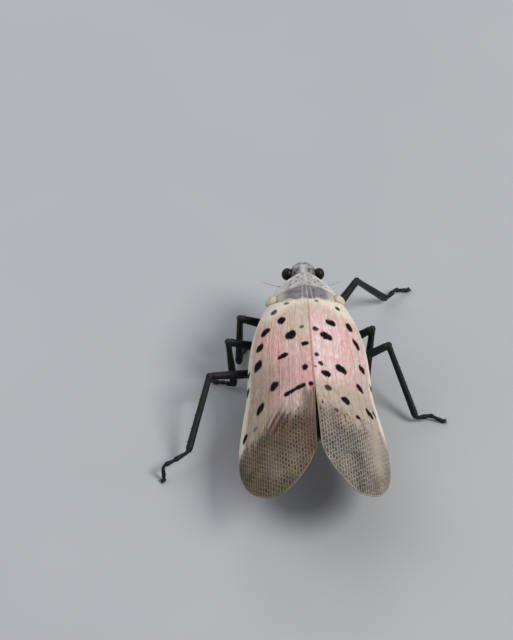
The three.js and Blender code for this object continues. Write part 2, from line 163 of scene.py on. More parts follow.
# Legs: the points where the segments meet.
LEGS = {
    "front_left": ((1.3, 3.9, 3.75), (2.1, 4.1, 3.15), (5.66, 5.0, 5.5),
                   (5.55, 5.9, 0.5), (5.25, 4.9, 0.5), (4.75, 3.75, 0.2)),
    "front_right": ((-1.3, 3.9, 3.75), (-2.1, 3.4, 3.15), (-4.91, 0.33, 5.0),
                    (-7.95, -1.45, 0.45), (-8.83, -2.3, 0.62), (-10, -2.7, 0.2)),
    "mid_left": ((1.5, 6.2, 3.6), (2.35, 6.5, 2.95), (6.79, 7.2, 4.95),
                 (6.1, 8.35, 0.45), (6.9, 8.1, 0.5), (7.75, 7.7, 0.2)),
    "mid_right": ((-1.5, 6.2, 3.6), (-2.35, 6.5, 2.95), (-5.85, 6.1, 5.25),
                  (-5.45, 8.2, 0.45), (-5.3, 9.15, 0.5), (-5.1, 10.15, 0.2)),
    "hind_left": ((1.55, 8.4, 3.7), (2.5, 9.0, 2.95), (8.54, 10.28, 4.0),
                  (10.55, 16.6, 1.45), (12.7, 17.9, 1.1), (12.72, 18.65, 0.2)),
    "hind_right": ((-1.55, 8.4, 3.7), (-2.4, 9.0, 2.95), (-7.16, 7.85, 5.1),
                   (-9.56, 12.4, 0.65), (-10.85, 12.1, 0.55), (-11.97, 12.4, 0.2)),
}
THIGH = 0.41
STOUT_THIGH = {"mid_right": 0.46}
SHIN = {"front": 0.32, "mid": 0.34, "hind": 0.295}
KNEE = 0.31
# Joints of a foot: where each starts and ends along it, and its radius at both ends.
FOOT_JOINTS = ((0.0, 0.42, 0.16, 0.225), (0.38, 0.64, 0.15, 0.215), (0.6, 0.97, 0.14, 0.19))
# Spines of a hind shin: how far down it they stand, and their length.
SHIN_SPINES = ((0.3, 0.3), (0.5, 0.36), (0.68, 0.38), (0.85, 0.4))
PAD_HEIGHT = 0.16
# Hairs on the thigh, the shin and the two halves of the foot: how far out, rows, and hairs in a row.
HAIRS = ((0.24, 6, 26), (0.2, 8, 40), (0.14, 6, 9), (0.13, 6, 9))
LEG_VOXEL = 0.035
BODY_VOXEL = 0.06


def lerp(a, b, t):
    return a + (b - a) * t


def smoothstep(x, low, high):
    t = np.clip((np.asarray(x, float) - low) / (high - low), 0, 1)
    return t * t * (3 - 2 * t)


def ridge_bump(x, at, width):
    """1 at x = at, falling smoothly to 0 over the width."""
    return np.exp(-((x - at) / width) ** 2)


def noise_at(points, scale, seed=0.0):
    """Smooth noise between about -1 and 1 for each point."""
    shift = Vector((seed, seed * 1.7, -seed))
    return np.array([noise.noise(Vector(p) * scale + shift) for p in points])


def flat_noise(a, b, scale, seed):
    """The same for a grid of places in a plane."""
    return noise_at(np.stack([a, b, 0 * a], -1).reshape(-1, 3), scale, seed).reshape(a.shape)


# A shape is (points, faces, attributes): millimetres, lists of corners, and a value a point for each name.
def shape(points, faces, **attributes):
    points = np.asarray(points, float).reshape(-1, 3)
    values = {name: np.asarray(value, float).ravel() for name, value in attributes.items()}
    return points, [list(face) for face in faces], values


def joined(shapes):
    names = sorted({name for _, _, attributes in shapes for name in attributes})
    points = np.concatenate([s[0] for s in shapes])
    faces = []
    values = {name: [] for name in names}
    start = 0
    for own_points, own_faces, attributes in shapes:
        faces += [[corner + start for corner in face] for face in own_faces]
        for name in names:
            values[name].append(attributes.get(name, np.zeros(len(own_points))))
        start += len(own_points)
    return points, faces, {name: np.concatenate(parts) for name, parts in values.items()}


def grid_faces(rows, columns, wrap=False, start=0):
    """Faces of a grid with its points in rows. A wrapped grid closes on itself across each row."""
    across = columns if wrap else columns - 1
    r, c = np.meshgrid(np.arange(rows - 1), np.arange(across), indexing="ij")
    r, c = r.ravel(), c.ravel()
    d = (c + 1) % columns
    faces = np.stack([r * columns + c, r * columns + d, (r + 1) * columns + d, (r + 1) * columns + c], 1)
    return (faces + start).tolist()


def tube_faces(rows, sides):
    """Faces of a wrapped grid that is closed at its two ends by the last two points."""
    faces = grid_faces(rows, sides, wrap=True)
    first, last, end = rows * sides, rows * sides + 1, (rows - 1) * sides
    for i in range(sides):
        j = (i + 1) % sides
        faces += [[first, j, i], [last, end + i, end + j]]
    return faces


def corner_rows(faces):
    """Four rows with the corners of all faces. A triangle has its last corner twice."""
    return np.array([face if len(face) == 4 else face + [face[-1]] for face in faces]).T


def volume_sign(points, faces):
    a, b, c, d = points[corner_rows(faces)]
    halves = ((a, b, c), (a, c, d))
    return np.sign(sum(np.einsum("ij,ij->i", p, np.cross(q, r)).sum() for p, q, r in halves))


def facing_out(points, faces):
    return [face[::-1] for face in faces] if volume_sign(points, faces) < 0 else faces


def new_object(name, data):
    item = bpy.data.objects.new(name, data)
    bpy.context.scene.collection.objects.link(item)
    return item


def add_piece(name, built, material, slot, *nodes):
    """Adds a shape as a piece that rides on the frame and stands for the nodes."""
    points, faces, attributes = built
    mesh = bpy.data.meshes.new(name)
    mesh.from_pydata((points * MM + ORIGIN).tolist(), [], facing_out(points, faces))
    for label, values in attributes.items():
        mesh.attributes.new(label, "FLOAT", "POINT").data.foreach_set("value", values.astype(np.float32))
    mesh.polygons.foreach_set("use_smooth", [True] * len(mesh.polygons))
    mesh.materials.append(material)
    mesh.update()
    piece = new_object(name, mesh)
    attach(piece, "root")
    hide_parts(*nodes)


def fused(shapes, voxel, smoothing=2):
    """One skin round overlapping closed shapes, as (points, faces)."""
    points, faces, _ = joined([(own, facing_out(own, cells), {}) for own, cells, _ in shapes])
    mesh = bpy.data.meshes.new("fusing")
    mesh.from_pydata(points.tolist(), [], faces)
    holder = new_object("fusing", mesh)
    remesh = holder.modifiers.new("remesh", "REMESH")
    remesh.mode = "VOXEL"
    remesh.voxel_size = voxel
    remesh.adaptivity = 0.0
    soften = holder.modifiers.new("soften", "SMOOTH")
    soften.factor = 0.5
    soften.iterations = smoothing
    made = bpy.data.meshes.new_from_object(holder.evaluated_get(bpy.context.evaluated_depsgraph_get()))
    result = np.zeros(len(made.vertices) * 3)
    made.vertices.foreach_get("co", result)
    corners = [list(polygon.vertices) for polygon in made.polygons]
    bpy.data.objects.remove(holder)
    bpy.data.meshes.remove(mesh)
    bpy.data.meshes.remove(made)
    return result.reshape(-1, 3), corners


def vertex_normals(points, faces):
    rows = corner_rows(faces)
    a, b, c, d = points[rows]
    normal = np.cross(c - a, d - b)
    total = np.zeros_like(points)
    for corners in rows:
        np.add.at(total, corners, normal)
    return total / np.maximum(np.linalg.norm(total, axis=1, keepdims=True), 1e-12)


# Swept shapes
def path_frames(path, up):
    """Two cross directions at each point of a path, without twist."""
    tangent = np.gradient(path, axis=0)
    tangent /= np.linalg.norm(tangent, axis=1, keepdims=True)
    first = np.asarray(up, float) - np.dot(up, tangent[0]) * tangent[0]
    if np.linalg.norm(first) < 1e-6:
        first = np.cross(tangent[0], (1.0, 0.3, 0.2))
    ones = [first / np.linalg.norm(first)]
    for t in tangent[1:]:
        kept = ones[-1] - np.dot(ones[-1], t) * t
        ones.append(kept / np.linalg.norm(kept))
    return np.array(ones), np.cross(tangent, ones)


def sweep(path, radii, sides=12, up=(0, 0, 1), section=None, flatten=1.0, **attributes):
    """Closed tube along a path. section(angle) scales the radius round it, flatten squeezes it sideways."""
    path = np.asarray(path, float)
    radii = np.broadcast_to(np.asarray(radii, float), (len(path),))
    one, two = path_frames(path, up)
    angle = np.linspace(0, 2 * math.pi, sides, endpoint=False)
    scale = section(angle) if section else np.ones(sides)
    ring = (one[:, None] * (np.cos(angle) * scale)[None, :, None]
            + two[:, None] * (np.sin(angle) * scale * flatten)[None, :, None])
    tube = path[:, None] + ring * radii[:, None, None]
    points = np.concatenate([tube.reshape(-1, 3), path[:1], path[-1:]])
    marks = {label: np.full(len(points), value) for label, value in attributes.items()}
    return shape(points, tube_faces(len(path), sides), **marks)


def curve_through(points, steps):
    """A smooth path through a few points."""
    points = np.asarray(points, float)
    padded = np.concatenate([[2 * points[0] - points[1]], points, [2 * points[-1] - points[-2]]])
    path = []
    for i in range(len(points) - 1):
        a, b, c, d = padded[i:i + 4]
        for t in np.linspace(0, 1, steps, endpoint=False):
            path.append(0.5 * (2 * b + (c - a) * t + (2 * a - 5 * b + 4 * c - d) * t ** 2
                               + (3 * b - a - 3 * c + d) * t ** 3))
    path.append(points[-1])
    return np.array(path)


def straight(a, b, steps):
    return np.linspace(a, b, steps + 1)


def profile(fractions, radii, steps):
    """Radii at even steps, smoothly joined through a few given ones."""
    t = np.linspace(0, 1, steps + 1)
    out = np.zeros(steps + 1)
    for i in range(len(fractions) - 1):
        inside = (t >= fractions[i]) & (t <= fractions[i + 1])
        blend = smoothstep(t[inside], fractions[i], fractions[i + 1])
        out[inside] = lerp(radii[i], radii[i + 1], blend)
    return out


def unit_ball(rings, sides):
    """Points and faces of a sphere of radius 1, with its poles up and down."""
    theta = np.linspace(0, math.pi, rings + 1)[1:-1]
    phi = np.linspace(0, 2 * math.pi, sides, endpoint=False)
    t, p = np.meshgrid(theta, phi, indexing="ij")
    unit = np.stack([np.sin(t) * np.cos(p), np.sin(t) * np.sin(p), np.cos(t)], -1).reshape(-1, 3)
    return np.concatenate([unit, [[0, 0, 1]], [[0, 0, -1]]]), tube_faces(rings - 1, sides)


def ball(centre, half, rings, sides):
    unit, faces = unit_ball(rings, sides)
    return shape(centre + unit * half, faces)


def squared(unit, power):
    size = (np.abs(unit) ** power).sum(1, keepdims=True)
    return unit * size ** (-1 / power)


# Wings
def ridge_height(y):
    behind = RIDGE_FALL_BACK * (y - RIDGE_PEAK_AT)
    ahead = RIDGE_FALL_FRONT * (RIDGE_PEAK_AT - y) ** 2 / 2
    return RIDGE_HEIGHT - np.where(y > RIDGE_PEAK_AT, behind, ahead)


def wing_width(y):
    behind = np.maximum(0, y - TAPER_FROM)
    return (WING_WIDTH - WING_TAPER * np.exp(-behind / WING_TAPER_LENGTH)
            - SHOULDER_TAPER * np.exp(-behind / SHOULDER_LENGTH))


def ridge_gap(y):
    return lerp(RIDGE_GAP_FRONT, RIDGE_GAP_BACK, smoothstep(y, 14, 21))


def roof_point(side, y, across, depth, gap=ridge_gap):
    """Points of the roof at stations y, parts across of the way out, sunk by depth."""
    y, across, depth = np.broadcast_arrays(*(np.asarray(v, float) for v in (y, across, depth)))
    edge = lerp(EDGE_SLOPE_FRONT, EDGE_SLOPE_BACK, smoothstep(y, 6, 20))
    square = lerp(SHOULDER_SQUARENESS, 1, smoothstep(y, 5, 14))
    width = wing_width(y)
    step = across / ROOF_STEPS
    x = np.zeros_like(y)
    drop = np.zeros_like(y)
    for i in range(ROOF_STEPS):
        slope = lerp(RIDGE_SLOPE, edge, ((i + 0.5) * np.maximum(step, 0)) ** square)
        x = x + np.cos(slope) * step * width
        drop = drop + np.sin(slope) * step * width
    lean = lerp(RIDGE_SLOPE, edge, np.maximum(across, 0) ** square) * smoothstep(across, 0, 0.3)
    out = gap(y) / 2 + x - depth * np.sin(lean)
    return np.stack([side * out, y, ridge_height(y) - drop - depth * np.cos(lean)], -1)


def wing_end(outline, part):
    part = np.asarray(part, float)
    tip_across = outline["tip_across"]
    inner = part < tip_across
    reach = np.where(inner, (tip_across - part) / tip_across, (part - tip_across) / (1 - tip_across))
    reach = np.clip(reach, 0, 1)
    power = np.where(inner, outline["inner_power"], outline["outer_power"])
    corner = np.where(inner, outline["inner_end"], outline["outer_end"])
    return corner + (outline["tip"] - corner) * (1 - reach ** power) ** (1 / power)


def net_start(name, distance):
    """Station where the netted rear begins, at a distance from the ridge."""
    distances, stations = NET_START[name]
    return np.interp(distance, distances, stations)


def net_edge(name, distance):
    """The same as net_start, but wavy."""
    return net_start(name, distance) + 0.22 * np.sin(3.1 * distance + 1)


def both_sides(marks):
    """The values of a sheet's grid for its top and again for its underside."""
    return {name: np.tile(np.ravel(values), 2) for name, values in marks.items()}


def shell(top, bottom):
    """Closed sheet between two grids of points."""
    rows, columns = top.shape[:2]
    start = rows * columns
    faces = grid_faces(rows, columns)
    faces += [face[::-1] for face in grid_faces(rows, columns, start=start)]
    rim = ([(0, c) for c in range(columns)] + [(r, columns - 1) for r in range(1, rows)]
           + [(rows - 1, c) for c in range(columns - 2, -1, -1)] + [(r, 0) for r in range(rows - 2, 0, -1)])
    rim = [r * columns + c for r, c in rim]
    for a, b in zip(rim, rim[1:] + rim[:1]):
        faces.append([b, a, a + start, b + start])
    return np.concatenate([top.reshape(-1, 3), bottom.reshape(-1, 3)]), faces


def ellipse_mask(y, s, spot):
    """How much a point of the wing lies in a spot, with a slightly ragged edge."""
    station, distance, length, width, angle, *faint = spot
    strength = faint[0] if faint else 1.0
    turn = math.radians(angle)
    along = (y - station) * math.cos(turn) + (s - distance) * math.sin(turn)
    aside = -(y - station) * math.sin(turn) + (s - distance) * math.cos(turn)
    reach = np.hypot(along / (length / 2), aside / (width / 2))
    ragged = 0.1 * np.sin(5.1 * y + 3.0 * station) + 0.08 * np.sin(9.3 * s + 5.0 * distance)
    return strength * (1 - smoothstep(reach + ragged, 0.95, 1.25))


def bar_mask(y, s):
    (y0, s0), (y1, s1), width = LEFT_BAR
    length = math.hypot(y1 - y0, s1 - s0)
    t = np.clip(((y - y0) * (y1 - y0) + (s - s0) * (s1 - s0)) / length ** 2, 0, 1)
    away = np.hypot(y - lerp(y0, y1, t), s - lerp(s0, s1, t))
    waist = 1 - 0.28 * ridge_bump(t, 0.52, 0.12)
    return 1 - smoothstep(away / (width / 2 * waist), 0.8, 1.15)


def wing_markings(name, y, part):
    """Values from 0 to 1 for the colours of a forewing."""
    s = part * wing_width(y)
    spot = np.zeros_like(y)
    for one in SPOTS[name]:
        spot = np.maximum(spot, ellipse_mask(y, s, one))
    net = smoothstep(y - net_edge(name, s) - 0.15 * np.sin(7.7 * s), *NET_DARKENS[name])
    outer = smoothstep(s, 3.0, 5.4)
    if name == "left":
        spot = np.maximum(spot, bar_mask(y, s))
        band = ridge_bump(y, 8.6 + 1.4 * (4.6 - s), 2.1)
        pink = np.maximum(band, 0.5 * smoothstep(y, 9, 11) * (1 - 0.8 * outer))
        pink = pink + 0.5 * ridge_bump(y, 13.0, 1.6) * ridge_bump(s, 2.2, 1.6)
        pink = pink * (1 - smoothstep(y, 15.0, 17.6))
        lilac = 0.4 * ridge_bump(s, 1.9, 1.3) * smoothstep(y, 9, 11)
        # dark band along the ridge behind station 15
        dusk = smoothstep(y + 0.4 * np.sin(9 * s), 14.9, 16.3) * (1 - smoothstep(s, 0.7, 1.5))
        strokes = smoothstep(np.sin(8.4 * (s - 0.6 * (y - 18.0)) + 0.5 * np.sin(2.3 * y)), -0.25, 0.35)
        rust = ridge_bump(y, 18.3 - 0.3 * (s - 3.6), 1.2) * ridge_bump(s, 3.6 + 0.4 * (y - 18.3), 1.1)
        rust = np.clip(1.5 * rust, 0, 1) * lerp(0.15, 1.0, strokes)
        # painted shade: the left wing darkened from station 12 to 15, about 3 mm out from the ridge, as if
        # its slope got less light; it joins the dark ridge band
        shade = smoothstep(y, 11.6, 12.6) * (1 - smoothstep(y, 14.8, 15.6)) * ridge_bump(s, 3.0, 1.9)
        dusk = np.maximum(dusk, 0.24 * shade)
        strip = 0.3 * ridge_bump(y, 23.0, 1.6) * ridge_bump(s, 3.0, 2.4)
    else:
        pink = 0.8 * (1 - 0.9 * smoothstep(y, 13.0, 15.8)) * (1 - 0.75 * outer)
        # lilac tone near the ridge; its full strength here on the right wing is painted sky reflection
        lilac = smoothstep(y, 6.8, 8.8) * (1 - smoothstep(y, 13.5, 15.5))
        lilac = (1 - 0.7 * smoothstep(s, 1.4, 4.0)) * lilac
        dusk = 0.5 * smoothstep(y, 16.0, 17.5) * (1 - smoothstep(s, 0.2, 0.7))
        rust = 0.35 * np.exp(-(((y - 17.8) / 0.7) ** 2 + ((s - 2.0) / 1.5) ** 2))
        strip = ridge_bump(s, 6.1, 1.3) * smoothstep(y, 17.2, 18.2) * (1 - smoothstep(y, 21.5, 23.5))
    pink = np.clip(pink, 0, 1) * smoothstep(y, 6.4, 9.0)
    pale = np.maximum(1 - smoothstep(y - 1.2 * smoothstep(s, 0.5, 4.0), 5.5, 6.6),
                      smoothstep(part, 0.87, 0.94) * (1 - 0.8 * smoothstep(y, 19, 21)))
    front = 1 - smoothstep(y, 9.5, 14.5)
    dusk = dusk * (1 - smoothstep(y, 21, 23))
    return {"spot": spot, "front": front, "net": net, "pink": pink, "pale": pale, "dusk": dusk,
            "lilac": lilac, "rust": rust, "strip": strip}


def cell_rows(column):
    """Stations where the cross-veins of a column of the net lie."""
    rng = np.random.default_rng(900 + column)
    stations = np.arange(NET_FIRST, 27, NET_PITCH) + (column % 2) * NET_PITCH / 2
    return stations + rng.uniform(-NET_JITTER, NET_JITTER, len(stations))


CELL_ROWS = [cell_rows(column) for column in range(NET_VEINS + 1)]


def net_vein(number, y):
    """Part across of a vein of the net: it zigzags between the cross-veins on either side of it."""
    swing = NET_ZIGZAG * np.cos(2 * math.pi * (y - NET_FIRST) / NET_PITCH) * np.where(number % 2 == 0, -1, 1)
    return (number + 0.5 + swing) / NET_VEINS


def net_patch(name, y, s):
    """How dark the cells of the net are from place to place."""
    cloud = smoothstep(flat_noise(y, s, 0.8, {"left": 3.0, "right": 8.0}[name]), -0.3, 0.25)
    if name == "left":
        return lerp(0.45, 1.0, cloud)
    dark = np.maximum(0.75 * cloud, ridge_bump(s, 3.7, 0.9) * smoothstep(y, 17.6, 18.6))
    return lerp(0.4, 1.0, dark) * (1 - 0.75 * ridge_bump(s, 6.2, 1.2))


def cell_growth(name, column):
    """For each cell of a column: how far it belongs to the net, with strays on both sides of its start."""
    rng = np.random.default_rng(40 + column)
    stations = CELL_ROWS[column]
    distance = column / NET_VEINS * wing_width(stations)
    strays = rng.uniform(-1.0, 0.6, len(stations))
    tone = rng.uniform(0.3, 1.0, len(stations)) ** 0.6 * net_patch(name, stations, distance)
    return smoothstep(stations - net_edge(name, distance) - strays, -0.15, 0.2), tone


def cell_shade(name, y, part):
    """Darkness of the cells of the net: dark in the middle, pale along the veins."""
    nearest = np.clip(np.rint(part * NET_VEINS - 0.5), 0, NET_VEINS - 1)
    line = net_vein(nearest, y)
    column = np.where(part > line, nearest + 1, nearest).astype(int)
    aside = np.abs(part - line) * NET_VEINS
    shade = np.zeros_like(y)
    for number, stations in enumerate(CELL_ROWS):
        mine = column == number
        row = np.clip(np.searchsorted(stations, y[mine]) - 1, 0, len(stations) - 2)
        along = np.minimum(y[mine] - stations[row], stations[row + 1] - y[mine])
        grown, tone = cell_growth(name, number)
        inner = smoothstep(aside[mine], 0.1, 0.24) * smoothstep(along, 0.03, 0.08)
        shade[mine] = inner * (grown * tone)[row]
    return shade


def forewing_membrane(name, side):
    columns, rows = 6 * NET_VEINS, 250
    part = np.linspace(0, 1, columns + 1)[None, :].repeat(rows + 1, 0)
    start = lerp(WING_BASE, WING_SHOULDER, part ** 2)
    y = lerp(start, wing_end(FOREWING_OUTLINE, part), np.linspace(0, 1, rows + 1)[:, None])
    marks = wing_markings(name, y, part)
    swell = 0.02 * np.cos(2 * math.pi * part * 7) * smoothstep(y, 6, 8) * (1 - marks["net"])
    cell = cell_shade(name, y, part)
    rim = smoothstep(part, 0.0, 0.02) * smoothstep(1 - part, 0.0, 0.02)
    depth = MEMBRANE_DEPTH + swell + 0.02 * cell + 0.03 * (1 - rim)
    thickness = lerp(MEMBRANE_THIN, MEMBRANE_THICK, smoothstep(part, 0.3, 1))
    lip = ROOT_LIP * (1 + 1.2 * ridge_bump(part, 0.5, 0.2)) * (1 - smoothstep(part, 0.6, 0.85))
    thickness = thickness + lip * (1 - smoothstep(y - start, 0.05, 0.5))
    points, faces = shell(roof_point(side, y, part, depth), roof_point(side, y, part, depth + thickness))
    return shape(points, faces, **both_sides(marks | {"cell": cell}))


def vein(name, side, path, half_width, height):
    """A raised vein along a path of (station, part across), its edges sunk into the membrane."""
    path = np.asarray(path, float)
    y, part = path[:, 0], path[:, 1]
    width = wing_width(y)
    flat = np.stack([y, part * width], 1)
    along = np.gradient(flat, axis=0)
    along /= np.maximum(np.linalg.norm(along, axis=1, keepdims=True), 1e-9)
    aside = np.stack([-along[:, 1], along[:, 0]], 1)
    offsets, heights = np.array(VEIN_SECTION).T
    half_width, height = (np.broadcast_to(value, y.shape)[:, None] for value in (half_width, height))
    yy = y[:, None] + aside[:, :1] * offsets * half_width
    ss = flat[:, 1:] + aside[:, 1:] * offsets * half_width
    pp = ss / wing_width(yy)
    points = roof_point(side, yy, pp, MEMBRANE_DEPTH - height * heights)
    caps = [[0, 1, 2, 5], [2, 3, 4, 5]]
    last = (len(y) - 1) * len(VEIN_SECTION)
    faces = grid_faces(len(y), len(VEIN_SECTION), wrap=True)
    faces += caps + [[last + corner for corner in cap[::-1]] for cap in caps]
    return shape(points, faces, **wing_markings(name, yy, pp))


def suture_part(y):
    """The claval suture: from the wing's base it slants in to the ridge near the start of the net."""
    return SUTURE_PART * np.clip(1 - (y - WING_BASE) / (SUTURE_END - WING_BASE), 0, 1) ** 0.8


def clavus_part(y):
    """The main vein of the clavus, between the suture and the ridge."""
    return 0.62 * float(suture_part(y)) + 0.012


def vein_begins(part):
    """Where a main vein comes out of the wing's base or of the suture."""
    base = float(lerp(WING_BASE, WING_SHOULDER, part ** 2)) + 0.25
    if part >= SUTURE_PART:
        return base
    return max(base, WING_BASE + (SUTURE_END - WING_BASE) * (1 - (part / SUTURE_PART) ** 1.25))


def even_steps(start, stop, step=0.2):
    """Stations from start to stop, or none where there is no room for a vein."""
    return np.linspace(start, stop, max(3, int((stop - start) / step) + 1)) if stop > start + step else []


# A wing is its name and its side in the functions below.
def wing_vein(wing, kind, path, size=1.0):
    """A list of one vein, or of none if its path is too short."""
    half_width, height = VEINS[kind]
    return [vein(*wing, path, size * half_width, size * height)] if len(path) > 2 else []


def cross_vein(wing, kind, at, left, right):
    return wing_vein(wing, kind, [(at, part) for part in np.linspace(left, right, 4)])


def main_veins(wing):
    """Veins that split twice on their way back: once in the middle, and once where the net begins."""
    shapes = []
    for trunk in range(NET_VEINS // 4):
        part = (4 * trunk + 2) / NET_VEINS
        fork = 9.0 + 0.8 * math.sin(2.1 * trunk)
        start = vein_begins(part)
        y = even_steps(start, fork)
        growing = lerp(0.3, 1, smoothstep(y, start, start + 1.6))
        shapes += wing_vein(wing, "trunk", [(v, part) for v in y], growing)
        for own in (4 * trunk + 1, 4 * trunk + 3):
            own_part = own / NET_VEINS
            start = max(fork, vein_begins(own_part))
            split = float(net_start(wing[0], own_part * wing_width(17.5))) - 0.9
            parting = [(v, lerp(part, own_part, smoothstep(v, fork, fork + 2.5)))
                       for v in even_steps(start, split)]
            shapes += wing_vein(wing, "branch", parting)
            for number in (own - 1, own):
                end = float(wing_end(FOREWING_OUTLINE, (number + 0.5) / NET_VEINS)) - END_MARGIN
                y = even_steps(max(split, start), end, 0.11)
                blend = smoothstep(y, split, split + 0.8)
                zigzag = [(v, lerp(own_part, net_vein(number, v), t)) for v, t in zip(y, blend)]
                shapes += wing_vein(wing, "net", zigzag)
    return shapes


def net_cross_veins(wing):
    """Cross-veins of the net, laid like bricks."""
    shapes = []
    for column in range(NET_VEINS + 1):
        left, right = max(0.0, (column - 0.5) / NET_VEINS), min(1.0, (column + 0.5) / NET_VEINS)
        end = float(wing_end(FOREWING_OUTLINE, (left + right) / 2)) - 2 * END_MARGIN - 0.01
        grown, _ = cell_growth(wing[0], column)
        for at, size in zip(CELL_ROWS[column], grown):
            if size >= 0.3 and at <= end:
                shapes += cross_vein(wing, "net_cross", at, left, right)
    return shapes


def front_cross_veins(wing):
    """A few cross-veins that tie the main veins together in the front part."""
    shapes = []
    rng = np.random.default_rng(5)
    for column in range(1, NET_VEINS // 2 - 1):
        left, right = (2 * column - 1) / NET_VEINS, (2 * column + 1) / NET_VEINS
        for at in np.arange(10.2 + 0.7 * rng.random(), 19.0, 1.1):
            at = at + 0.5 * rng.random()
            net = float(net_start(wing[0], (left + right) / 2 * wing_width(at)))
            if at <= net - 0.5 and suture_part(at) <= left:
                shapes += cross_vein(wing, "cross", at, left, right)
    return shapes


def clavus_veins(wing):
    """The suture of the clavus, and the two veins inside it, which meet."""
    first = WING_BASE + 0.3
    meeting = clavus_part(CLAVUS_FORK_AT)
    suture = [(v, float(suture_part(v))) for v in np.linspace(first, SUTURE_END - 0.1, 40)]
    main = [(v, clavus_part(v)) for v in np.linspace(first, CLAVUS_VEIN_END, 34)]
    side_vein = [(v, lerp(0.06, meeting, smoothstep(v, 7.5, CLAVUS_FORK_AT)))
                 for v in np.linspace(first, CLAVUS_FORK_AT, 22)]
    return (wing_vein(wing, "suture", suture) + wing_vein(wing, "clavus", main)
            + wing_vein(wing, "fork", side_vein))


def wing_rim(wing):
    """The rim along the ridge and round the tip, and the thick front edge."""
    across = np.linspace(0.006, 0.994, 120)
    inner = np.linspace(WING_BASE + 0.1, FOREWING_OUTLINE["inner_end"] - 0.3, 70)
    outer = np.linspace(FOREWING_OUTLINE["outer_end"] - 0.3, WING_SHOULDER + 0.05, 60)
    y = np.concatenate([inner, wing_end(FOREWING_OUTLINE, across) - 0.04, outer])
    part = np.concatenate([np.full(len(inner), 0.004), across, np.full(len(outer), 0.994)])
    widths = np.concatenate([np.full(len(inner), 0.04), np.linspace(0.04, 0.06, len(across)),
                             np.linspace(0.06, 0.11, len(outer))])
    return [vein(*wing, list(zip(y, part)), widths, RIM_HEIGHT)]


def forewing_veins(*wing):
    kinds = (main_veins, net_cross_veins, front_cross_veins, clavus_veins, wing_rim)
    return joined([one for kind in kinds for one in kind(wing)])


def hindwing_gap(y):
    return HINDWING_GAP


def hindwing_sheet(side):
    """Thin pleated sheet under the forewing: red in front, a white band, black behind."""
    columns, rows = 90, 150
    part = np.linspace(0, 1, columns + 1)[None, :].repeat(rows + 1, 0)
    y = lerp(HINDWING_BASE, wing_end(HINDWING_OUTLINE, part) - 0.05, np.linspace(0, 1, rows + 1)[:, None])
    across = 0.8 * smoothstep(y, 2.4, 12.4)
    pleat = np.abs(np.sin(math.pi * part * PLEATS))
    depth = HINDWING_DEPTH + 0.07 * pleat * smoothstep(y, 8.5, 12)
    points, faces = shell(*(roof_point(side, y, part * across, depth + below, hindwing_gap)
                            for below in (0, HINDWING_THICKNESS)))
    s = part * across * wing_width(y)
    spot = np.zeros_like(y)
    rng = np.random.default_rng(77)
    for _ in range(16):
        one = [rng.uniform(*span) for span in ((9.5, 15.0), (0.5, 6.0), (0.5, 0.9), (0.4, 0.7), (0, 90))]
        spot = np.maximum(spot, ellipse_mask(y, s, one))
    edge = 16.0 + 0.25 * np.sin(2.2 * s)
    band = smoothstep(y, edge - 0.15, edge + 0.15)
    tip = smoothstep(y + 0.4 * s - 1.0, 17.9, 18.2)
    # painted shade: dark in the creases of the pleats and along the ridge, under the forewings
    fold = np.maximum(1 - pleat, 4 * (1 - smoothstep(s, 0.25, 0.6)))
    return shape(points, faces, **both_sides({"spot": spot, "band": band, "tip": tip, "fold": fold}))


# Plates on the back
def edge_at(edge, x):
    middle, slope, bend = edge
    return middle + slope * (np.hypot(x, APEX_BLUNTNESS) - APEX_BLUNTNESS) - bend * x * x


def plate_grid(plate, columns, rows):
    u = np.sin(np.linspace(-1, 1, columns + 1) * math.pi / 2)[None, :].repeat(rows + 1, 0)
    along = np.linspace(0, 1, rows + 1)[:, None].repeat(columns + 1, 1)
    x = u * plate["half_width"]
    y = lerp(edge_at(plate["front"], x), edge_at(plate["back"], x), along)
    top = plate["top"] - plate["rise"] * (1 - along) ** 2 - plate["fall"] * np.abs(u) ** 2.4
    thickness = plate["thickness"] * (1 + 0.7 * u ** 2)
    return x, y, top, thickness, u, along


def plate_shell(grid, relief, **marks):
    """Closes a plate: relief shapes its top, and its rim is rounded off."""
    x, y, top, thickness, u, along = grid
    rim = np.minimum(smoothstep(along, 0, 0.06), smoothstep(1 - along, 0, 0.06))
    rim = np.minimum(rim, smoothstep(1 - np.abs(u), 0, 0.02))
    upper = np.stack([x, y, top + relief - 0.12 * (1 - rim)], -1)
    lower = np.stack([x, y, top - thickness + 0.1 * (1 - rim)], -1)
    points, faces = shell(upper, lower)
    return shape(points, faces, **both_sides(marks))


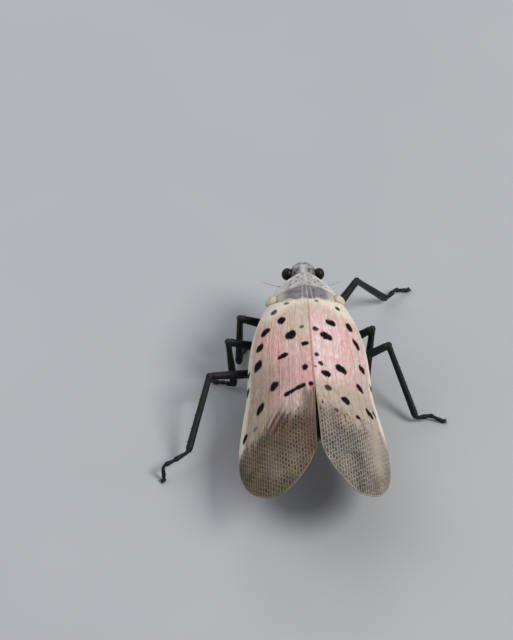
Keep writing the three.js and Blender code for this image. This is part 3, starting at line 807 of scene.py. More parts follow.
def pronotum():
    grid = plate_grid(PRONOTUM, 150, 70)
    x, y, *_, along = grid
    outwards = np.abs(x)
    keel = ridge_bump(x, 0, 0.07) * smoothstep(along, 0.02, 0.2)
    shoulders = 0.07 * ridge_bump(outwards, 0.95 + 0.5 * along, 0.1) * smoothstep(along, 0.1, 0.4)
    rims = 0.05 * ridge_bump(along, 0.07, 0.05) + 0.06 * ridge_bump(along, 0.94, 0.04)
    pits, rings = np.zeros_like(x), np.zeros_like(x)
    rng = np.random.default_rng(12)
    ragged = 0.2 * flat_noise(x, y, 7.0, 6.0)
    for at, back, size in PRONOTUM_PITS:
        for side in (-1, 1):
            aside, behind = rng.uniform(-0.07, 0.07, 2)
            long, wide = size * rng.uniform(0.7, 1.15, 2)
            away = np.hypot((x - side * (at + aside)) / wide, (y - back - behind) / long) + ragged
            pits = np.maximum(pits, rng.uniform(0.55, 1.0) * (1 - smoothstep(away, 0.4, 1.15)))
            rings = np.maximum(rings, ridge_bump(away, 1.5, 0.35))
    wrinkle = flat_noise(x, y, 3.2, 4.0)
    relief = 0.09 * keel + shoulders + rims - 0.075 * pits + 0.018 * rings + 0.03 * wrinkle
    line = np.maximum(ridge_bump(along, 0.985, 0.03), 0.6 * ridge_bump(x, 0, 0.04))
    margin = smoothstep(outwards, 0.5, 1.3) * (1 - smoothstep(along, 0.2, 0.42))
    wing = np.maximum(smoothstep(outwards, 1.3, 2.2), margin)
    return plate_shell(grid, relief, pit=pits, ring=rings, line=line, keel=keel, wing=wing)


def mesonotum():
    grid = plate_grid(MESONOTUM, 120, 70)
    x, y, *_, along = grid
    outwards = np.abs(x)
    keels = ridge_bump(x, 0, 0.05) + ridge_bump(outwards, 0.46 - 0.12 * (1 - along), 0.05)
    wrinkle = flat_noise(x, y, 3.0, 9.0)
    border = smoothstep(along + 0.05 * np.sin(5 * x), 0.8, 0.92) * (1 - 0.5 * ridge_bump(x, 0, 0.25))
    border = np.maximum(border, 0.75 * smoothstep(outwards, 1.5, 2.3))
    relief = 0.06 * keels - 0.05 * ridge_bump(along, 0.84, 0.04) + 0.02 * wrinkle
    return plate_shell(grid, relief, keel=keels, border=border)


def tegula(side):
    """Oval scale over the wing's root, leaning outwards, with growth lines."""
    centre = np.array(TEGULA["centre"]) * (side, 1, 1)
    unit, faces = unit_ball(40, 56)
    out = np.hypot(unit[:, 0], unit[:, 1])
    relief = 0.012 * np.cos(26 * out) * smoothstep(out, 0.35, 0.6) - 0.05 * ridge_bump(out, 0.86, 0.07)
    relief = relief + 0.012 * noise_at(unit, 3.0, 2.0)
    x, y, z = (unit * TEGULA["half"] + unit * relief[:, None]).T
    tilt = TEGULA["tilt"] * side
    leant = (x * math.cos(tilt) + z * math.sin(tilt), y, z * math.cos(tilt) - x * math.sin(tilt))
    return shape(np.stack(leant, 1) + centre, faces, rim=smoothstep(out, 0.78, 0.95))


# Head
def head():
    unit, faces = unit_ball(110, 150)
    u = squared(unit, HEAD["squareness"])
    down = np.maximum(0, -u[:, 2])
    half = HEAD["half"]
    points = np.stack([
        u[:, 0] * half[0] * (1 - 0.5 * down ** 1.5),
        u[:, 1] * half[1] * (1 - 0.3 * down) + 0.4 * down,
        u[:, 2] * half[2] * (1 + 0.1 * down),
    ], 1) + HEAD["centre"]
    x, y, z = points.T
    outwards = np.abs(x)
    front = smoothstep(-unit[:, 1], 0.1, 0.6)
    top = smoothstep(unit[:, 2], 0.55, 0.85)
    frons = front * smoothstep(z, 5.1, 5.4)
    side_keel = ridge_bump(outwards, 0.82 - 0.1 * (7.0 - z), 0.065) * frons
    face_keel = ridge_bump(outwards, 0.27 + 0.05 * (7.0 - z), 0.055) * frons
    brow = ridge_bump(z, 7.42 - 0.1 * outwards ** 2, 0.08) * front * (outwards < 1.0)
    clypeus = front * ridge_bump(x, 0, 0.46) * ridge_bump(z, 4.85, 0.42)
    suture = front * ridge_bump(z, 5.28 + 0.35 * outwards ** 2, 0.05)
    crown = top * ridge_bump(x, 0, 0.75) * smoothstep(y, 0.3, 1.0)
    eye = np.array(EYE["centre"])
    mirrored = np.stack([outwards, y, z], 1)
    away = np.linalg.norm((mirrored - eye) / np.array(EYE["half"]), axis=1)
    socket = ridge_bump(away, 1.18, 0.14)
    bulb = np.array(BULB["centre"])
    near_bulb = np.linalg.norm((mirrored - bulb) / BULB["radius"], axis=1)
    collar = ridge_bump(near_bulb, 1.25, 0.18)
    grain = noise_at(points, 5.0, 3.0)
    rise = (0.09 * side_keel + 0.07 * face_keel + 0.08 * brow + 0.16 * clypeus - 0.05 * suture
            - 0.1 * crown + 0.06 * socket + 0.05 * collar + 0.012 * grain)
    points = points + vertex_normals(points, faces) * rise[:, None] * np.sign(volume_sign(points, faces))
    bar = ridge_bump(y, 0.75, 0.28) * (1 - smoothstep(outwards, 0.84, 0.98))
    bar = bar * (1 - 0.7 * ridge_bump(outwards, 0.42, 0.09))
    blotches = smoothstep(noise_at(points, 2.6, 7.0), -0.05, 0.3)
    stripe = ridge_bump(x, 0, 0.33) * smoothstep(y, 0.35, 0.7)
    stripe = np.maximum(stripe, 0.75 * ridge_bump(x, 0, 0.8) * smoothstep(y, 0.2, 0.6) * (1 - blotches))
    pale = np.clip(top * np.maximum(0.8 * bar, stripe), 0, 1)
    keel = np.clip(side_keel + face_keel + 0.7 * socket, 0, 1)
    clypeus = np.clip(front * smoothstep(5.2 - z, 0, 0.3), 0, 1)
    return shape(points, faces, pale=pale, keel=keel, clypeus=clypeus)


def halved_triangles(points, faces):
    """Splits each triangle in four. The old points come first, and then the middles of the sides."""
    middles = {}
    split = []
    for a, b, c in faces:
        ab, bc, ca = (middles.setdefault(tuple(sorted(ends)), len(points) + len(middles))
                      for ends in ((a, b), (b, c), (c, a)))
        split += [[a, ab, ca], [ab, b, bc], [ca, bc, c], [ab, bc, ca]]
    first, last = np.array(list(middles)).T
    return np.concatenate([points, (points[first] + points[last]) / 2]), split


def eye(side):
    """Globe of small lenses: each point of an icosphere stands out from the middles between the points."""
    grid = bmesh.new()
    bmesh.ops.create_icosphere(grid, subdivisions=EYE_LEVEL, radius=1)
    lenses = np.array([v.co for v in grid.verts])
    faces = [[v.index for v in f.verts] for f in grid.faces]
    grid.free()
    unit, faces = halved_triangles(lenses, faces)
    unit /= np.linalg.norm(unit, axis=1, keepdims=True)
    lens = (np.arange(len(unit)) < len(lenses)).astype(float)
    centre = np.array(EYE["centre"]) * (side, 1, 1)
    points = centre + unit * np.array(EYE["half"]) * lerp(LENS_EDGE, 1.0, lens)[:, None]
    return shape(points, faces, lens=lens)


def antenna_bulb(side):
    centre = np.array(BULB["centre"]) * (side, 1, 1)
    unit, faces = unit_ball(44, 60)
    rng = np.random.default_rng(21)
    warts = rng.normal(size=(70, 3))
    warts /= np.linalg.norm(warts, axis=1, keepdims=True)
    near = (unit @ warts.T).max(1)
    wart = smoothstep(near, 0.985, 0.997)
    radius = BULB["radius"] * (0.96 + 0.05 * wart)
    out = side * unit[:, 0]
    points = centre + unit * radius[:, None] * np.array([1.08, 1, 1])
    globe = shape(points, faces, wart=wart, stalk=smoothstep(-out, 0.55, 0.8))
    neck = centre + np.array([side * -0.55, -0.1, 0.05])
    scape = sweep(straight(neck, centre, 8), np.linspace(0.2, 0.16, 9), 16, stalk=1.0)
    return joined([globe, scape])


def antenna_bristle(side):
    centre = np.array(BULB["centre"]) * (side, 1, 1)
    bend = np.array([side * 0.75, -0.35, -0.3])
    root = centre + bend * 0.42
    tip = centre + bend * 2.3 + np.array([side * 0.35, -0.1, 0.35])
    path = curve_through([root, centre + bend * 0.9, centre + bend * 1.6 + (0, 0, 0.1), tip], 10)
    t = np.linspace(0, 1, len(path))
    radii = 0.08 * np.exp(-t * 14) + 0.02 * (1 - t) ** 0.8 + 0.005
    return sweep(path, radii, 10)


# Thorax, abdomen and beak
def under_wings(points):
    """How high a part of the body may reach at each point, below the plates and the folded wings."""
    part = np.linspace(0, 1, 60)
    limit = np.full(len(points), 20.0)
    for row in np.arange(5.0, 12.0, 0.25):
        mine = np.abs(points[:, 1] - row) <= 0.125
        depth = lerp(0.42, 1.05, smoothstep(row, 7.4, 8.0)) + 0.6 * (1 - smoothstep(row, 5.2, 6.2))
        roof = roof_point(1, row, part, 0.0)
        limit[mine] = np.interp(np.abs(points[mine, 0]), roof[:, 0], roof[:, 2]) - depth
    return limit


def thorax():
    unit, faces = unit_ball(60, 80)
    u = squared(unit, THORAX["squareness"])
    neck = 1 - 0.45 * smoothstep(-u[:, 1], 0.3, 1)
    scale = np.stack([neck, np.ones_like(neck), neck], 1)
    trunk = shape(u * THORAX["half"] * scale + THORAX["centre"], faces)
    collar = sweep(straight((0, 1.6, 6.2), (0, 4.2, 5.9), 12), profile((0, 1), (0.75, 1.3), 12), 40)
    waist = sweep(straight((0, 8.2, 5.6), (0, 10.6, 5.4), 12), profile((0, 1), (1.7, 1.3), 12), 40)
    sockets = []
    for hip, joint, *_ in LEGS.values():
        hip, joint = np.array(hip), np.array(joint)
        sockets.append(sweep(straight(hip + (hip - joint) * 0.6, lerp(hip, joint, 0.35), 8),
                             profile((0, 0.7, 1), (0.5, 0.66, 0.5), 8), 24))
    roots = [ball((side * at, 6.55, 6.35), (1.6, 1.6, 1.95), 30, 40)
             for _, side in SIDES for at in (0.6, 2.1)]
    points, faces = fused([trunk, collar, waist] + sockets + roots, BODY_VOXEL, 4)
    points[:, 2] = np.minimum(points[:, 2], under_wings(points))
    x, y, z = points.T
    low = smoothstep(6.4 - z, 0, 1.4)
    groove = np.zeros_like(y)
    for at in (4.75, 7.35):
        groove = np.maximum(groove, ridge_bump(y + 0.12 * np.abs(x), at, 0.1) * low)
    plate_lines = ridge_bump(np.abs(x), 0.75, 0.07) * smoothstep(4.6 - z, 0, 0.4)
    pleura = ridge_bump(z + 0.35 * np.sin(1.2 * y), 5.15, 0.09) * smoothstep(np.abs(x), 1.2, 1.8)
    line = np.clip(groove + plate_lines + pleura, 0, 1)
    grain = noise_at(points, 2.4, 8.0)
    normals = vertex_normals(points, faces)
    points = points + normals * (0.02 * grain - 0.1 * line)[:, None]
    patch = smoothstep(noise_at(points, 0.9, 5.0), 0.12, 0.4)
    return shape(points, faces, line=line, patch=patch)


def abdomen():
    """Eight rings, each tucked under the edge of the one before it, and a blunt dark tip."""
    a = ABDOMEN
    rows, columns = 240, 96
    along = np.linspace(0.004, 0.996, rows)[:, None]
    angle = np.linspace(0, 2 * math.pi, columns, endpoint=False)[None, :]
    swell = np.sin(math.pi * along ** 0.8) ** 0.5 * (1 - 0.18 * along)
    place = along * a["rings"]
    within = place - np.floor(place)
    lap = 1 + 0.035 * within - 0.05 * (1 - smoothstep(within, 0, 0.12))
    pleat = 1 - 0.05 * ridge_bump(np.abs(np.cos(angle)), 0.97, 0.06)
    x = a["half_width"] * swell * lap * pleat * np.cos(angle)
    z = a["half_height"] * swell * lap * np.sin(angle)
    y = lerp(a["front"], a["back"], along) + 0 * angle
    z = z + a["height"] - a["sink"] * along
    points = np.stack([x, y, z], -1).reshape(-1, 3)
    ends = np.array([[0, a["front"], a["height"]], [0, a["back"] + 0.02, a["height"] - a["sink"]]])
    points = np.concatenate([points, ends])
    up = np.abs(np.sin(angle)) + 0 * along
    band = smoothstep(up, 0.52, 0.72) * (1 - smoothstep(within, 0.62, 0.74)) * smoothstep(within, 0.0, 0.06)
    side_dot = ridge_bump(within, 0.42, 0.12) * ridge_bump(np.sin(angle), -0.12, 0.1) + 0 * along
    dark = np.maximum(band, 0.75 * side_dot)
    tip = smoothstep(along, 0.93, 0.95) + 0 * angle
    marks = {"band": dark, "tip": tip, "seam": (1 - smoothstep(within, 0.0, 0.1)) + 0 * angle}
    marks = {name: np.append(values.ravel(), [0.0, 1.0]) for name, values in marks.items()}
    return shape(points, tube_faces(rows, columns), **marks)


def grooved(angle):
    """Section of the beak, with a groove along its underside."""
    return 1 - 0.16 * ridge_bump(np.mod(angle + math.pi, 2 * math.pi), math.pi, 0.28)


def beak():
    start, end = np.array(BEAK["from"]), np.array(BEAK["to"])
    shapes = []
    for low, high, wide, slim in BEAK_JOINTS:
        a, b = lerp(start, end, low), lerp(start, end, high)
        radii = profile((0, 0.06, 0.9, 1), (slim * 0.8, wide, slim, slim * 0.7), 24)
        shapes.append(sweep(straight(a, b, 24), radii, 28, up=(0, 0, -1), section=grooved, flatten=1.05))
    return joined(shapes)


# Legs
def leg_points(name):
    """Hip, upper joint, knee, ankle, bend of the foot and toe."""
    return np.array(LEGS[name], float)


def foot_heading(ankle, toe):
    """Level direction in which a foot points."""
    heading = toe - ankle
    heading[2] = 0
    return heading / np.linalg.norm(heading)


def thigh_section(angle):
    return 1 + 0.05 * np.cos(2 * angle) + 0.03 * np.cos(6 * angle)


def shin_section(angle):
    return 1 + 0.07 * np.cos(4 * angle)


def leg_parts(name):
    hip, joint, knee, ankle, bend, toe = leg_points(name)
    girth = STOUT_THIGH.get(name, THIGH)
    shin = SHIN[name.split("_")[0]]
    coxa = sweep(straight(hip, joint, 20), profile((0, 0.3, 0.85, 1), (0.42, 0.48, 0.34, 0.28), 20), 28)
    trochanter = sweep(straight(lerp(hip, joint, 0.78), lerp(joint, knee, 0.07), 14),
                       profile((0, 0.5, 1), (0.28, 0.33, 0.24), 14), 28)
    femur = sweep(straight(lerp(joint, knee, 0.02), knee, 60),
                  profile((0, 0.08, 0.5, 0.86, 0.95, 1), (0.2, 0.28, girth, 0.36, 0.36, 0.22), 60), 32,
                  section=thigh_section, flatten=0.9)
    tibia = sweep(straight(knee, ankle, 60),
                  profile((0, 0.04, 0.12, 0.6, 0.94, 1), (0.16, 0.27, 0.26, shin * 0.94, shin, 0.22), 60), 32,
                  section=shin_section)
    cap = ball(knee, (KNEE, KNEE, KNEE), 20, 28)
    return [coxa, trochanter, femur, tibia, cap] + tarsus(ankle, bend, toe)


def tarsus(ankle, bend, toe):
    """Three bell-shaped joints of the foot, then the pad between the claws."""
    sole = np.array([toe[0], toe[1], PAD_HEIGHT])
    path = curve_through([ankle, lerp(ankle, bend, 0.55), bend, lerp(bend, sole, 0.6), sole], 12)
    length = np.concatenate([[0], np.cumsum(np.linalg.norm(np.diff(path, axis=0), axis=1))])
    parts = []
    for low, high, start, end in FOOT_JOINTS:
        reach = np.linspace(low, high, 21) * length[-1]
        points = np.stack([np.interp(reach, length, row) for row in path.T], 1)
        radii = profile((0, 0.1, 0.82, 1), (start * 0.8, start, end, end * 0.6), 20)
        parts.append(sweep(points, radii, 24))
    heading = foot_heading(ankle, toe)
    points, faces, _ = ball(sole + heading * 0.02, (0.2, 0.2, PAD_HEIGHT), 18, 28)
    points = points + np.outer(np.clip((points - sole) @ heading, -1, 1), heading) * 0.45
    return parts + [shape(points, faces)]


def leg_skin(name):
    _, joint, knee, ankle, _, _ = leg_points(name)
    points, faces = fused(leg_parts(name), LEG_VOXEL, 2)
    points[:, 2] = np.maximum(points[:, 2], 0.004)
    grain = noise_at(points, 6.0, 1.0)
    points = points + vertex_normals(points, faces) * (0.008 * grain)[:, None]
    points[:, 2] = np.maximum(points[:, 2], 0.0)
    near = np.minimum(np.linalg.norm(points - knee, axis=1), np.linalg.norm(points - joint, axis=1))
    foot = 1 - smoothstep(np.linalg.norm(points - ankle, axis=1), 0, 0.5)
    return shape(points, faces, joint=1 - smoothstep(near, 0.2, 0.5), foot=foot)


def spike(base, direction, length, radius, sides=6, steps=4):
    direction = np.asarray(direction, float) / np.linalg.norm(direction)
    t = np.linspace(0, 1, steps + 1)
    path = base + np.outer(t, direction) * length
    return sweep(path, np.maximum(radius * (1 - t) ** 0.9, radius * 0.06), sides)


def leg_spines(name):
    """Stout spines down the hind shin, and a crown of small ones at the end of every shin."""
    _, _, knee, ankle, _, _ = leg_points(name)
    axis = (ankle - knee) / np.linalg.norm(ankle - knee)
    side = np.cross(axis, (0, 0, 1.0))
    side /= np.linalg.norm(side)
    if side[0] * knee[0] < 0:
        side = -side
    lift = np.cross(side, axis)
    shapes = []
    if name.startswith("hind"):
        for along, size in SHIN_SPINES:
            base = lerp(knee, ankle, along) + side * 0.14
            shapes.append(spike(base, side + 0.9 * axis + 0.1 * lift, size, 0.07))
    for turn in np.linspace(0, 2 * math.pi, 7, endpoint=False):
        out = np.cos(turn) * side + np.sin(turn) * lift
        shapes.append(spike(ankle - axis * 0.1 + out * 0.13, axis + 0.45 * out, 0.2, 0.04))
    return joined(shapes)


def leg_claws(name):
    """Two claws at the tip of the foot, curving apart and down."""
    _, _, _, ankle, _, toe = leg_points(name)
    heading = foot_heading(ankle, toe)
    aside = np.array([-heading[1], heading[0], 0])
    shapes = []
    for turn in (-1, 1):
        base = np.array([toe[0], toe[1], 0.2]) + heading * 0.06 + aside * turn * 0.08
        path = curve_through([base, base + heading * 0.17 + aside * turn * 0.1 + (0, 0, 0.03),
                              base + heading * 0.3 + aside * turn * 0.15 + (0, 0, -0.13)], 8)
        t = np.linspace(0, 1, len(path))
        shapes.append(sweep(path, 0.055 * (1 - t) ** 0.7 + 0.006, 10))
    return joined(shapes)


def leg_hairs(name, number):
    """Short bristles in rows along the thigh, shin and foot, but none at floor level."""
    ends = leg_points(name)[1:]
    rng = np.random.default_rng(300 + number)
    shapes = []
    for a, b, (radius, rows, count) in zip(ends, ends[1:], HAIRS):
        axis = (b - a) / np.linalg.norm(b - a)
        one = np.cross(axis, (0.3, 0.2, 1.0))
        one /= np.linalg.norm(one)
        two = np.cross(axis, one)
        for row in range(rows):
            for i in range(count):
                along = 0.1 + 0.84 * (i + rng.uniform(-0.3, 0.3)) / count
                turn = 2 * math.pi * row / rows + rng.uniform(-0.15, 0.15)
                out = math.cos(turn) * one + math.sin(turn) * two
                base = lerp(a, b, along) + out * radius * 0.85
                if base[2] >= 0.15:
                    shapes.append(spike(base, out * 0.7 + axis, rng.uniform(0.12, 0.2), 0.011, 3, steps=1))
    return joined(shapes)


# Materials
class Look:
    """Builds one procedural material. Coordinates are the piece's own, in millimetres."""

    def __init__(self, name, specular=0.5, coat=0.0, sheen=0.0):
        self.material = bpy.data.materials.new(name)
        self.material.use_nodes = True
        self.tree = self.material.node_tree
        self.shader = self.tree.nodes["Principled BSDF"]
        self.shader.inputs["Specular IOR Level"].default_value = specular
        self.shader.inputs["Coat Weight"].default_value = coat
        self.shader.inputs["Coat Roughness"].default_value = 0.2
        self.shader.inputs["Sheen Weight"].default_value = sheen
        where = self.tree.nodes.new("ShaderNodeTexCoord")
        self.place = self.scaled(where.outputs["Object"], (1 / MM,) * 3)

    def scaled(self, vector, factors):
        node = self.tree.nodes.new("ShaderNodeVectorMath")
        node.operation = "MULTIPLY"
        self.tree.links.new(vector, node.inputs[0])
        node.inputs[1].default_value = factors
        return node.outputs[0]

    def put(self, source, socket):
        """A source is a number, a colour with alpha, a socket, or the name of an attribute of the mesh."""
        if isinstance(source, (int, float, tuple)):
            socket.default_value = source
            return
        if isinstance(source, str):
            node = self.tree.nodes.new("ShaderNodeAttribute")
            node.attribute_name = source
            source = node.outputs["Fac"]
        self.tree.links.new(source, socket)

    def texture(self, kind, scale, stretch=(1, 1, 1)):
        node = self.tree.nodes.new(kind)
        self.tree.links.new(self.scaled(self.place, stretch), node.inputs["Vector"])
        node.inputs["Scale"].default_value = scale
        return node

    def noise(self, scale, detail=3.0, stretch=(1, 1, 1)):
        """Noise whose features are about 1 / scale millimetres, spread to run from 0 to 1."""
        node = self.texture("ShaderNodeTexNoise", scale, stretch)
        node.inputs["Detail"].default_value = detail
        return self.spread(node.outputs["Fac"], 0.3, 0.7)

    def cells(self, scale):
        return self.texture("ShaderNodeTexVoronoi", scale).outputs["Distance"]

    def spread(self, source, low, high, to_low=0.0, to_high=1.0):
        node = self.tree.nodes.new("ShaderNodeMapRange")
        self.put(source, node.inputs["Value"])
        node.inputs["From Min"].default_value = low
        node.inputs["From Max"].default_value = high
        node.inputs["To Min"].default_value = to_low
        node.inputs["To Max"].default_value = to_high
        return node.outputs["Result"]

    def times(self, a, b):
        node = self.tree.nodes.new("ShaderNodeMath")
        node.operation = "MULTIPLY"
        self.put(a, node.inputs[0])
        self.put(b, node.inputs[1])
        return node.outputs[0]

    def mix(self, a, b, amount):
        """Colour a turning to colour b. A colour is three numbers or a socket."""
        node = self.tree.nodes.new("ShaderNodeMix")
        node.data_type = "RGBA"
        self.put(amount, node.inputs["Factor"])
        for colour, socket in ((a, node.inputs["A"]), (b, node.inputs["B"])):
            self.put((*colour, 1.0) if isinstance(colour, tuple) else colour, socket)
        return node.outputs["Result"]

    def mottled(self, a, b, scale, detail=3.0):
        return self.mix(a, b, self.noise(scale, detail))

    def over(self, colour, *layers):
        """Lays tones over a colour. Each layer is a tone, where it shows, and how strongly if not in full."""
        for tone, mask, *share in layers:
            colour = self.mix(colour, tone, self.times(mask, *share) if share else mask)
        return colour

    def rough(self, scale, low, high):
        return self.spread(self.noise(scale), 0, 1, low, high)

    def finish(self, colour, roughness, *heights):
        """Sets the shader. Each height map for its bumps comes with its depth in millimetres."""
        self.put(colour, self.shader.inputs["Base Color"])
        self.put(roughness, self.shader.inputs["Roughness"])
        normal = None
        for source, depth in heights:
            node = self.tree.nodes.new("ShaderNodeBump")
            node.inputs["Distance"].default_value = depth * MM
            node.inputs["Strength"].default_value = 1.0
            self.put(source, node.inputs["Height"])
            if normal:
                self.tree.links.new(normal, node.inputs["Normal"])
            normal = node.outputs["Normal"]
        self.tree.links.new(normal, self.shader.inputs["Normal"])
        return self.material


# Beige of each forewing: the left darker and browner as painted shade, the right lighter and greyer as
# painted sky reflection.
BEIGE = {"left": (0.42, 0.315, 0.23), "right": (0.47, 0.395, 0.315)}
ROSE = (0.80, 0.385, 0.355)
LILAC = (0.84, 0.62, 0.63)
CREAM = (0.88, 0.80, 0.67)
STRIP = (0.50, 0.43, 0.345)
SPOT_BLACK = (0.012, 0.006, 0.005)
# The net of each forewing: its cells, its veins and the ground it grows on. The left set is darker and
# browner as painted shade, the right set lighter and greyer as painted sky reflection.
NET_TONES = {"left": ((0.007, 0.005, 0.003), (0.250, 0.182, 0.088), (0.080, 0.057, 0.028)),
             "right": ((0.012, 0.011, 0.010), (0.42, 0.37, 0.315), (0.16, 0.142, 0.118))}


def dimmed(tone, share):
    return tuple(share * part for part in tone)


def wing_ground(look, rose, beige):
    """The colour of a wing's front part, from cream shoulders over pink to beige."""
    cloud = look.spread(look.noise(0.5, 2), 0, 1, 0.6, 1.0)
    return look.over(
        beige,
        ((0.72, 0.55, 0.45), "front", 0.85),
        (rose, "pink", cloud),
        # lilac tone, and on the right wing painted sky reflection
        (LILAC, "lilac", 0.75),
        (CREAM, "pale", 0.92))


def forewing_look(name):
    look = Look(f"forewing_{name}", specular=0.4)
    cell, _, ground = NET_TONES[name]
    streaks = look.noise(5.0, 4, (1.0, 0.3, 1.0))
    # painted glints: near-white highlights in streaks, strongest where the sky reflection is painted
    painted_glints = look.times(look.spread(streaks, 0.5, 0.9, 0.0, 0.4), look.spread("lilac", 0, 1, 0.6, 1.6))
    colour = look.over(
        wing_ground(look, ROSE, BEIGE[name]),
        ((0.95, 0.90, 0.89), painted_glints),
        ((0.30, 0.19, 0.16), look.spread(streaks, 0.4, 0.0, 0.0, 0.3)),
        (look.mottled(dimmed(ground, 0.6), dimmed(ground, 1.4), 0.7, 4), "net", 0.9),
        ((0.10, 0.014, 0.018), "rust", 0.92),
        (STRIP, "strip", 0.8),
        # dark band along the ridge at the rear; on the left wing it also carries painted shade
        ((0.11, 0.056, 0.048), "dusk", 0.78),
        (look.mix(cell, (0.075, 0.008, 0.010), "rust"), "cell", 0.97),
        (SPOT_BLACK, "spot"))
    # the spots shine less than the membrane
    look.put(look.spread("spot", 0, 1, 0.4, 0.05), look.shader.inputs["Specular IOR Level"])
    return look.finish(colour, look.rough(6.0, 0.36, 0.6),
                       (look.noise(12.0, 3, (1, 0.4, 1)), 0.02), (look.cells(15.0), 0.012))


def forewing_vein_look(name):
    look = Look(f"forewing_veins_{name}")
    _, tone, _ = NET_TONES[name]
    colour = look.over(
        wing_ground(look, (0.80, 0.44, 0.41), dimmed(BEIGE[name], 1.12)),
        (look.mottled(dimmed(tone, 0.55), dimmed(tone, 1.4), 0.7, 4), "net"),
        ((0.15, 0.022, 0.022), "rust", 0.9),
        (STRIP, "strip", 0.6),
        # dark band along the ridge at the rear; on the left wing it also carries painted shade
        ((0.16, 0.11, 0.085), "dusk", 0.6),
        (SPOT_BLACK, "spot"))
    # and so do the veins in them
    look.put(look.spread("spot", 0, 1, 0.5, 0.05), look.shader.inputs["Specular IOR Level"])
    return look.finish(colour, look.rough(8.0, 0.3, 0.5), (look.noise(20.0), 0.006))


def hindwing_look():
    look = Look("hindwing", specular=0.35)
    colour = look.over(
        look.mottled((0.42, 0.018, 0.02), (0.55, 0.04, 0.03), 1.2),
        ((0.012, 0.008, 0.008), "spot"),
        ((0.74, 0.70, 0.64), "band"),
        ((0.015, 0.013, 0.014), "tip"),
        # painted shade in the creases and along the ridge
        ((0.05, 0.02, 0.02), "fold", 0.24))
    return look.finish(colour, look.rough(5.0, 0.4, 0.6), (look.noise(12.0, 3, (2, 0.3, 1)), 0.01))


def pronotum_look():
    look = Look("pronotum", specular=0.3, sheen=0.1)
    colour = look.over(
        look.mottled((0.30, 0.29, 0.285), (0.62, 0.61, 0.60), 2.2, 4),
        ((0.80, 0.79, 0.77), "keel", 0.7),
        ((0.84, 0.82, 0.82), "wing", 0.7),
        ((0.72, 0.72, 0.70), "ring", 0.4),
        ((0.10, 0.095, 0.09), "pit", 0.8),
        ((0.30, 0.27, 0.26), "line", 0.4),
        ((0.17, 0.15, 0.145), look.spread(look.noise(3.6, 3), 0.62, 0.95), 0.5))
    return look.finish(colour, look.rough(7.0, 0.5, 0.7),
                       (look.noise(9.0, 4), 0.02), (look.cells(12.0), 0.012))


def mesonotum_look():
    look = Look("mesonotum", specular=0.35)
    colour = look.over(
        look.mottled((0.13, 0.118, 0.128), (0.29, 0.27, 0.285), 1.8, 4),
        ((0.55, 0.51, 0.56), "keel", 0.75),
        ((0.78, 0.70, 0.57), "border", 0.85))
    return look.finish(colour, look.rough(7.0, 0.45, 0.65),
                       (look.noise(10.0, 4), 0.016), (look.cells(14.0), 0.008))


def tegula_look():
    look = Look("tegula", specular=0.35)
    colour = look.over(
        look.mottled((0.56, 0.47, 0.34), (0.76, 0.69, 0.55), 2.4),
        ((0.30, 0.23, 0.17), "rim", 0.7))
    return look.finish(colour, look.rough(6.0, 0.45, 0.6), (look.noise(11.0), 0.012))


def head_look():
    look = Look("head", specular=0.4)
    colour = look.over(
        look.mottled((0.042, 0.038, 0.036), (0.072, 0.062, 0.056), 2.5, 4),
        ((0.22, 0.16, 0.11), "keel", 0.7),
        ((0.05, 0.036, 0.03), "clypeus", 0.6),
        (look.mottled((0.42, 0.42, 0.43), (0.78, 0.78, 0.78), 3.2), "pale", 0.92))
    return look.finish(colour, look.rough(6.0, 0.38, 0.6),
                       (look.noise(12.0, 4), 0.014), (look.cells(18.0), 0.008))


def eye_look():
    look = Look("eye", specular=0.25, coat=0.06)
    colour = look.over(
        look.mottled((0.004, 0.003, 0.003), (0.012, 0.008, 0.007), 1.4, 2),
        ((0.020, 0.014, 0.012), "lens", 0.35))
    return look.finish(colour, look.spread("lens", 0, 1, 0.45, 0.28), (look.cells(30.0), 0.004))


def bulb_look():
    look = Look("antenna_bulb", specular=0.45)
    colour = look.over(
        look.mottled((0.62, 0.11, 0.012), (0.78, 0.20, 0.02), 3.0),
        ((0.86, 0.36, 0.08), "wart", 0.8),
        ((0.05, 0.03, 0.02), "stalk"))
    return look.finish(colour, look.rough(9.0, 0.35, 0.5), (look.noise(20.0), 0.008))


def thorax_look():
    look = Look("thorax", specular=0.35)
    colour = look.over(
        look.mottled((0.040, 0.032, 0.027), (0.085, 0.062, 0.048), 1.6, 4),
        ((0.36, 0.30, 0.20), "patch", 0.35),
        ((0.30, 0.25, 0.18), "line", 0.6))
    return look.finish(colour, look.rough(5.0, 0.42, 0.68), (look.noise(9.0, 4), 0.02))


def abdomen_look():
    look = Look("abdomen", specular=0.45)
    colour = look.over(
        look.mottled((0.66, 0.36, 0.02), (0.80, 0.52, 0.05), 1.5),
        ((0.015, 0.012, 0.011), "band"),
        ((0.30, 0.16, 0.02), "seam", 0.5),
        ((0.06, 0.012, 0.010), "tip"))
    return look.finish(colour, look.rough(5.0, 0.34, 0.52), (look.noise(10.0, 4, (0.5, 1.5, 0.5)), 0.012))


def leg_look():
    look = Look("leg", specular=0.22)
    colour = look.over(
        look.mottled((0.004, 0.005, 0.007), (0.011, 0.012, 0.016), 3.0, 4),
        ((0.05, 0.035, 0.026), "joint", 0.35))
    return look.finish(colour, look.rough(8.0, 0.32, 0.5),
                       (look.noise(16.0, 4), 0.012), (look.cells(14.0), 0.006))


def spine_look():
    look = Look("spine")
    colour = look.mottled((0.008, 0.007, 0.007), (0.030, 0.022, 0.018), 5.0, 2)
    return look.finish(colour, look.rough(9.0, 0.3, 0.45), (look.noise(25.0, 2), 0.004))


def floor_look():
    look = Look("floor", specular=0.2)
    colour = look.mottled((0.47, 0.485, 0.51), (0.50, 0.515, 0.54), 0.05, 2)
    return look.finish(colour, look.rough(0.2, 0.6, 0.7), (look.noise(0.4, 2), 0.01))


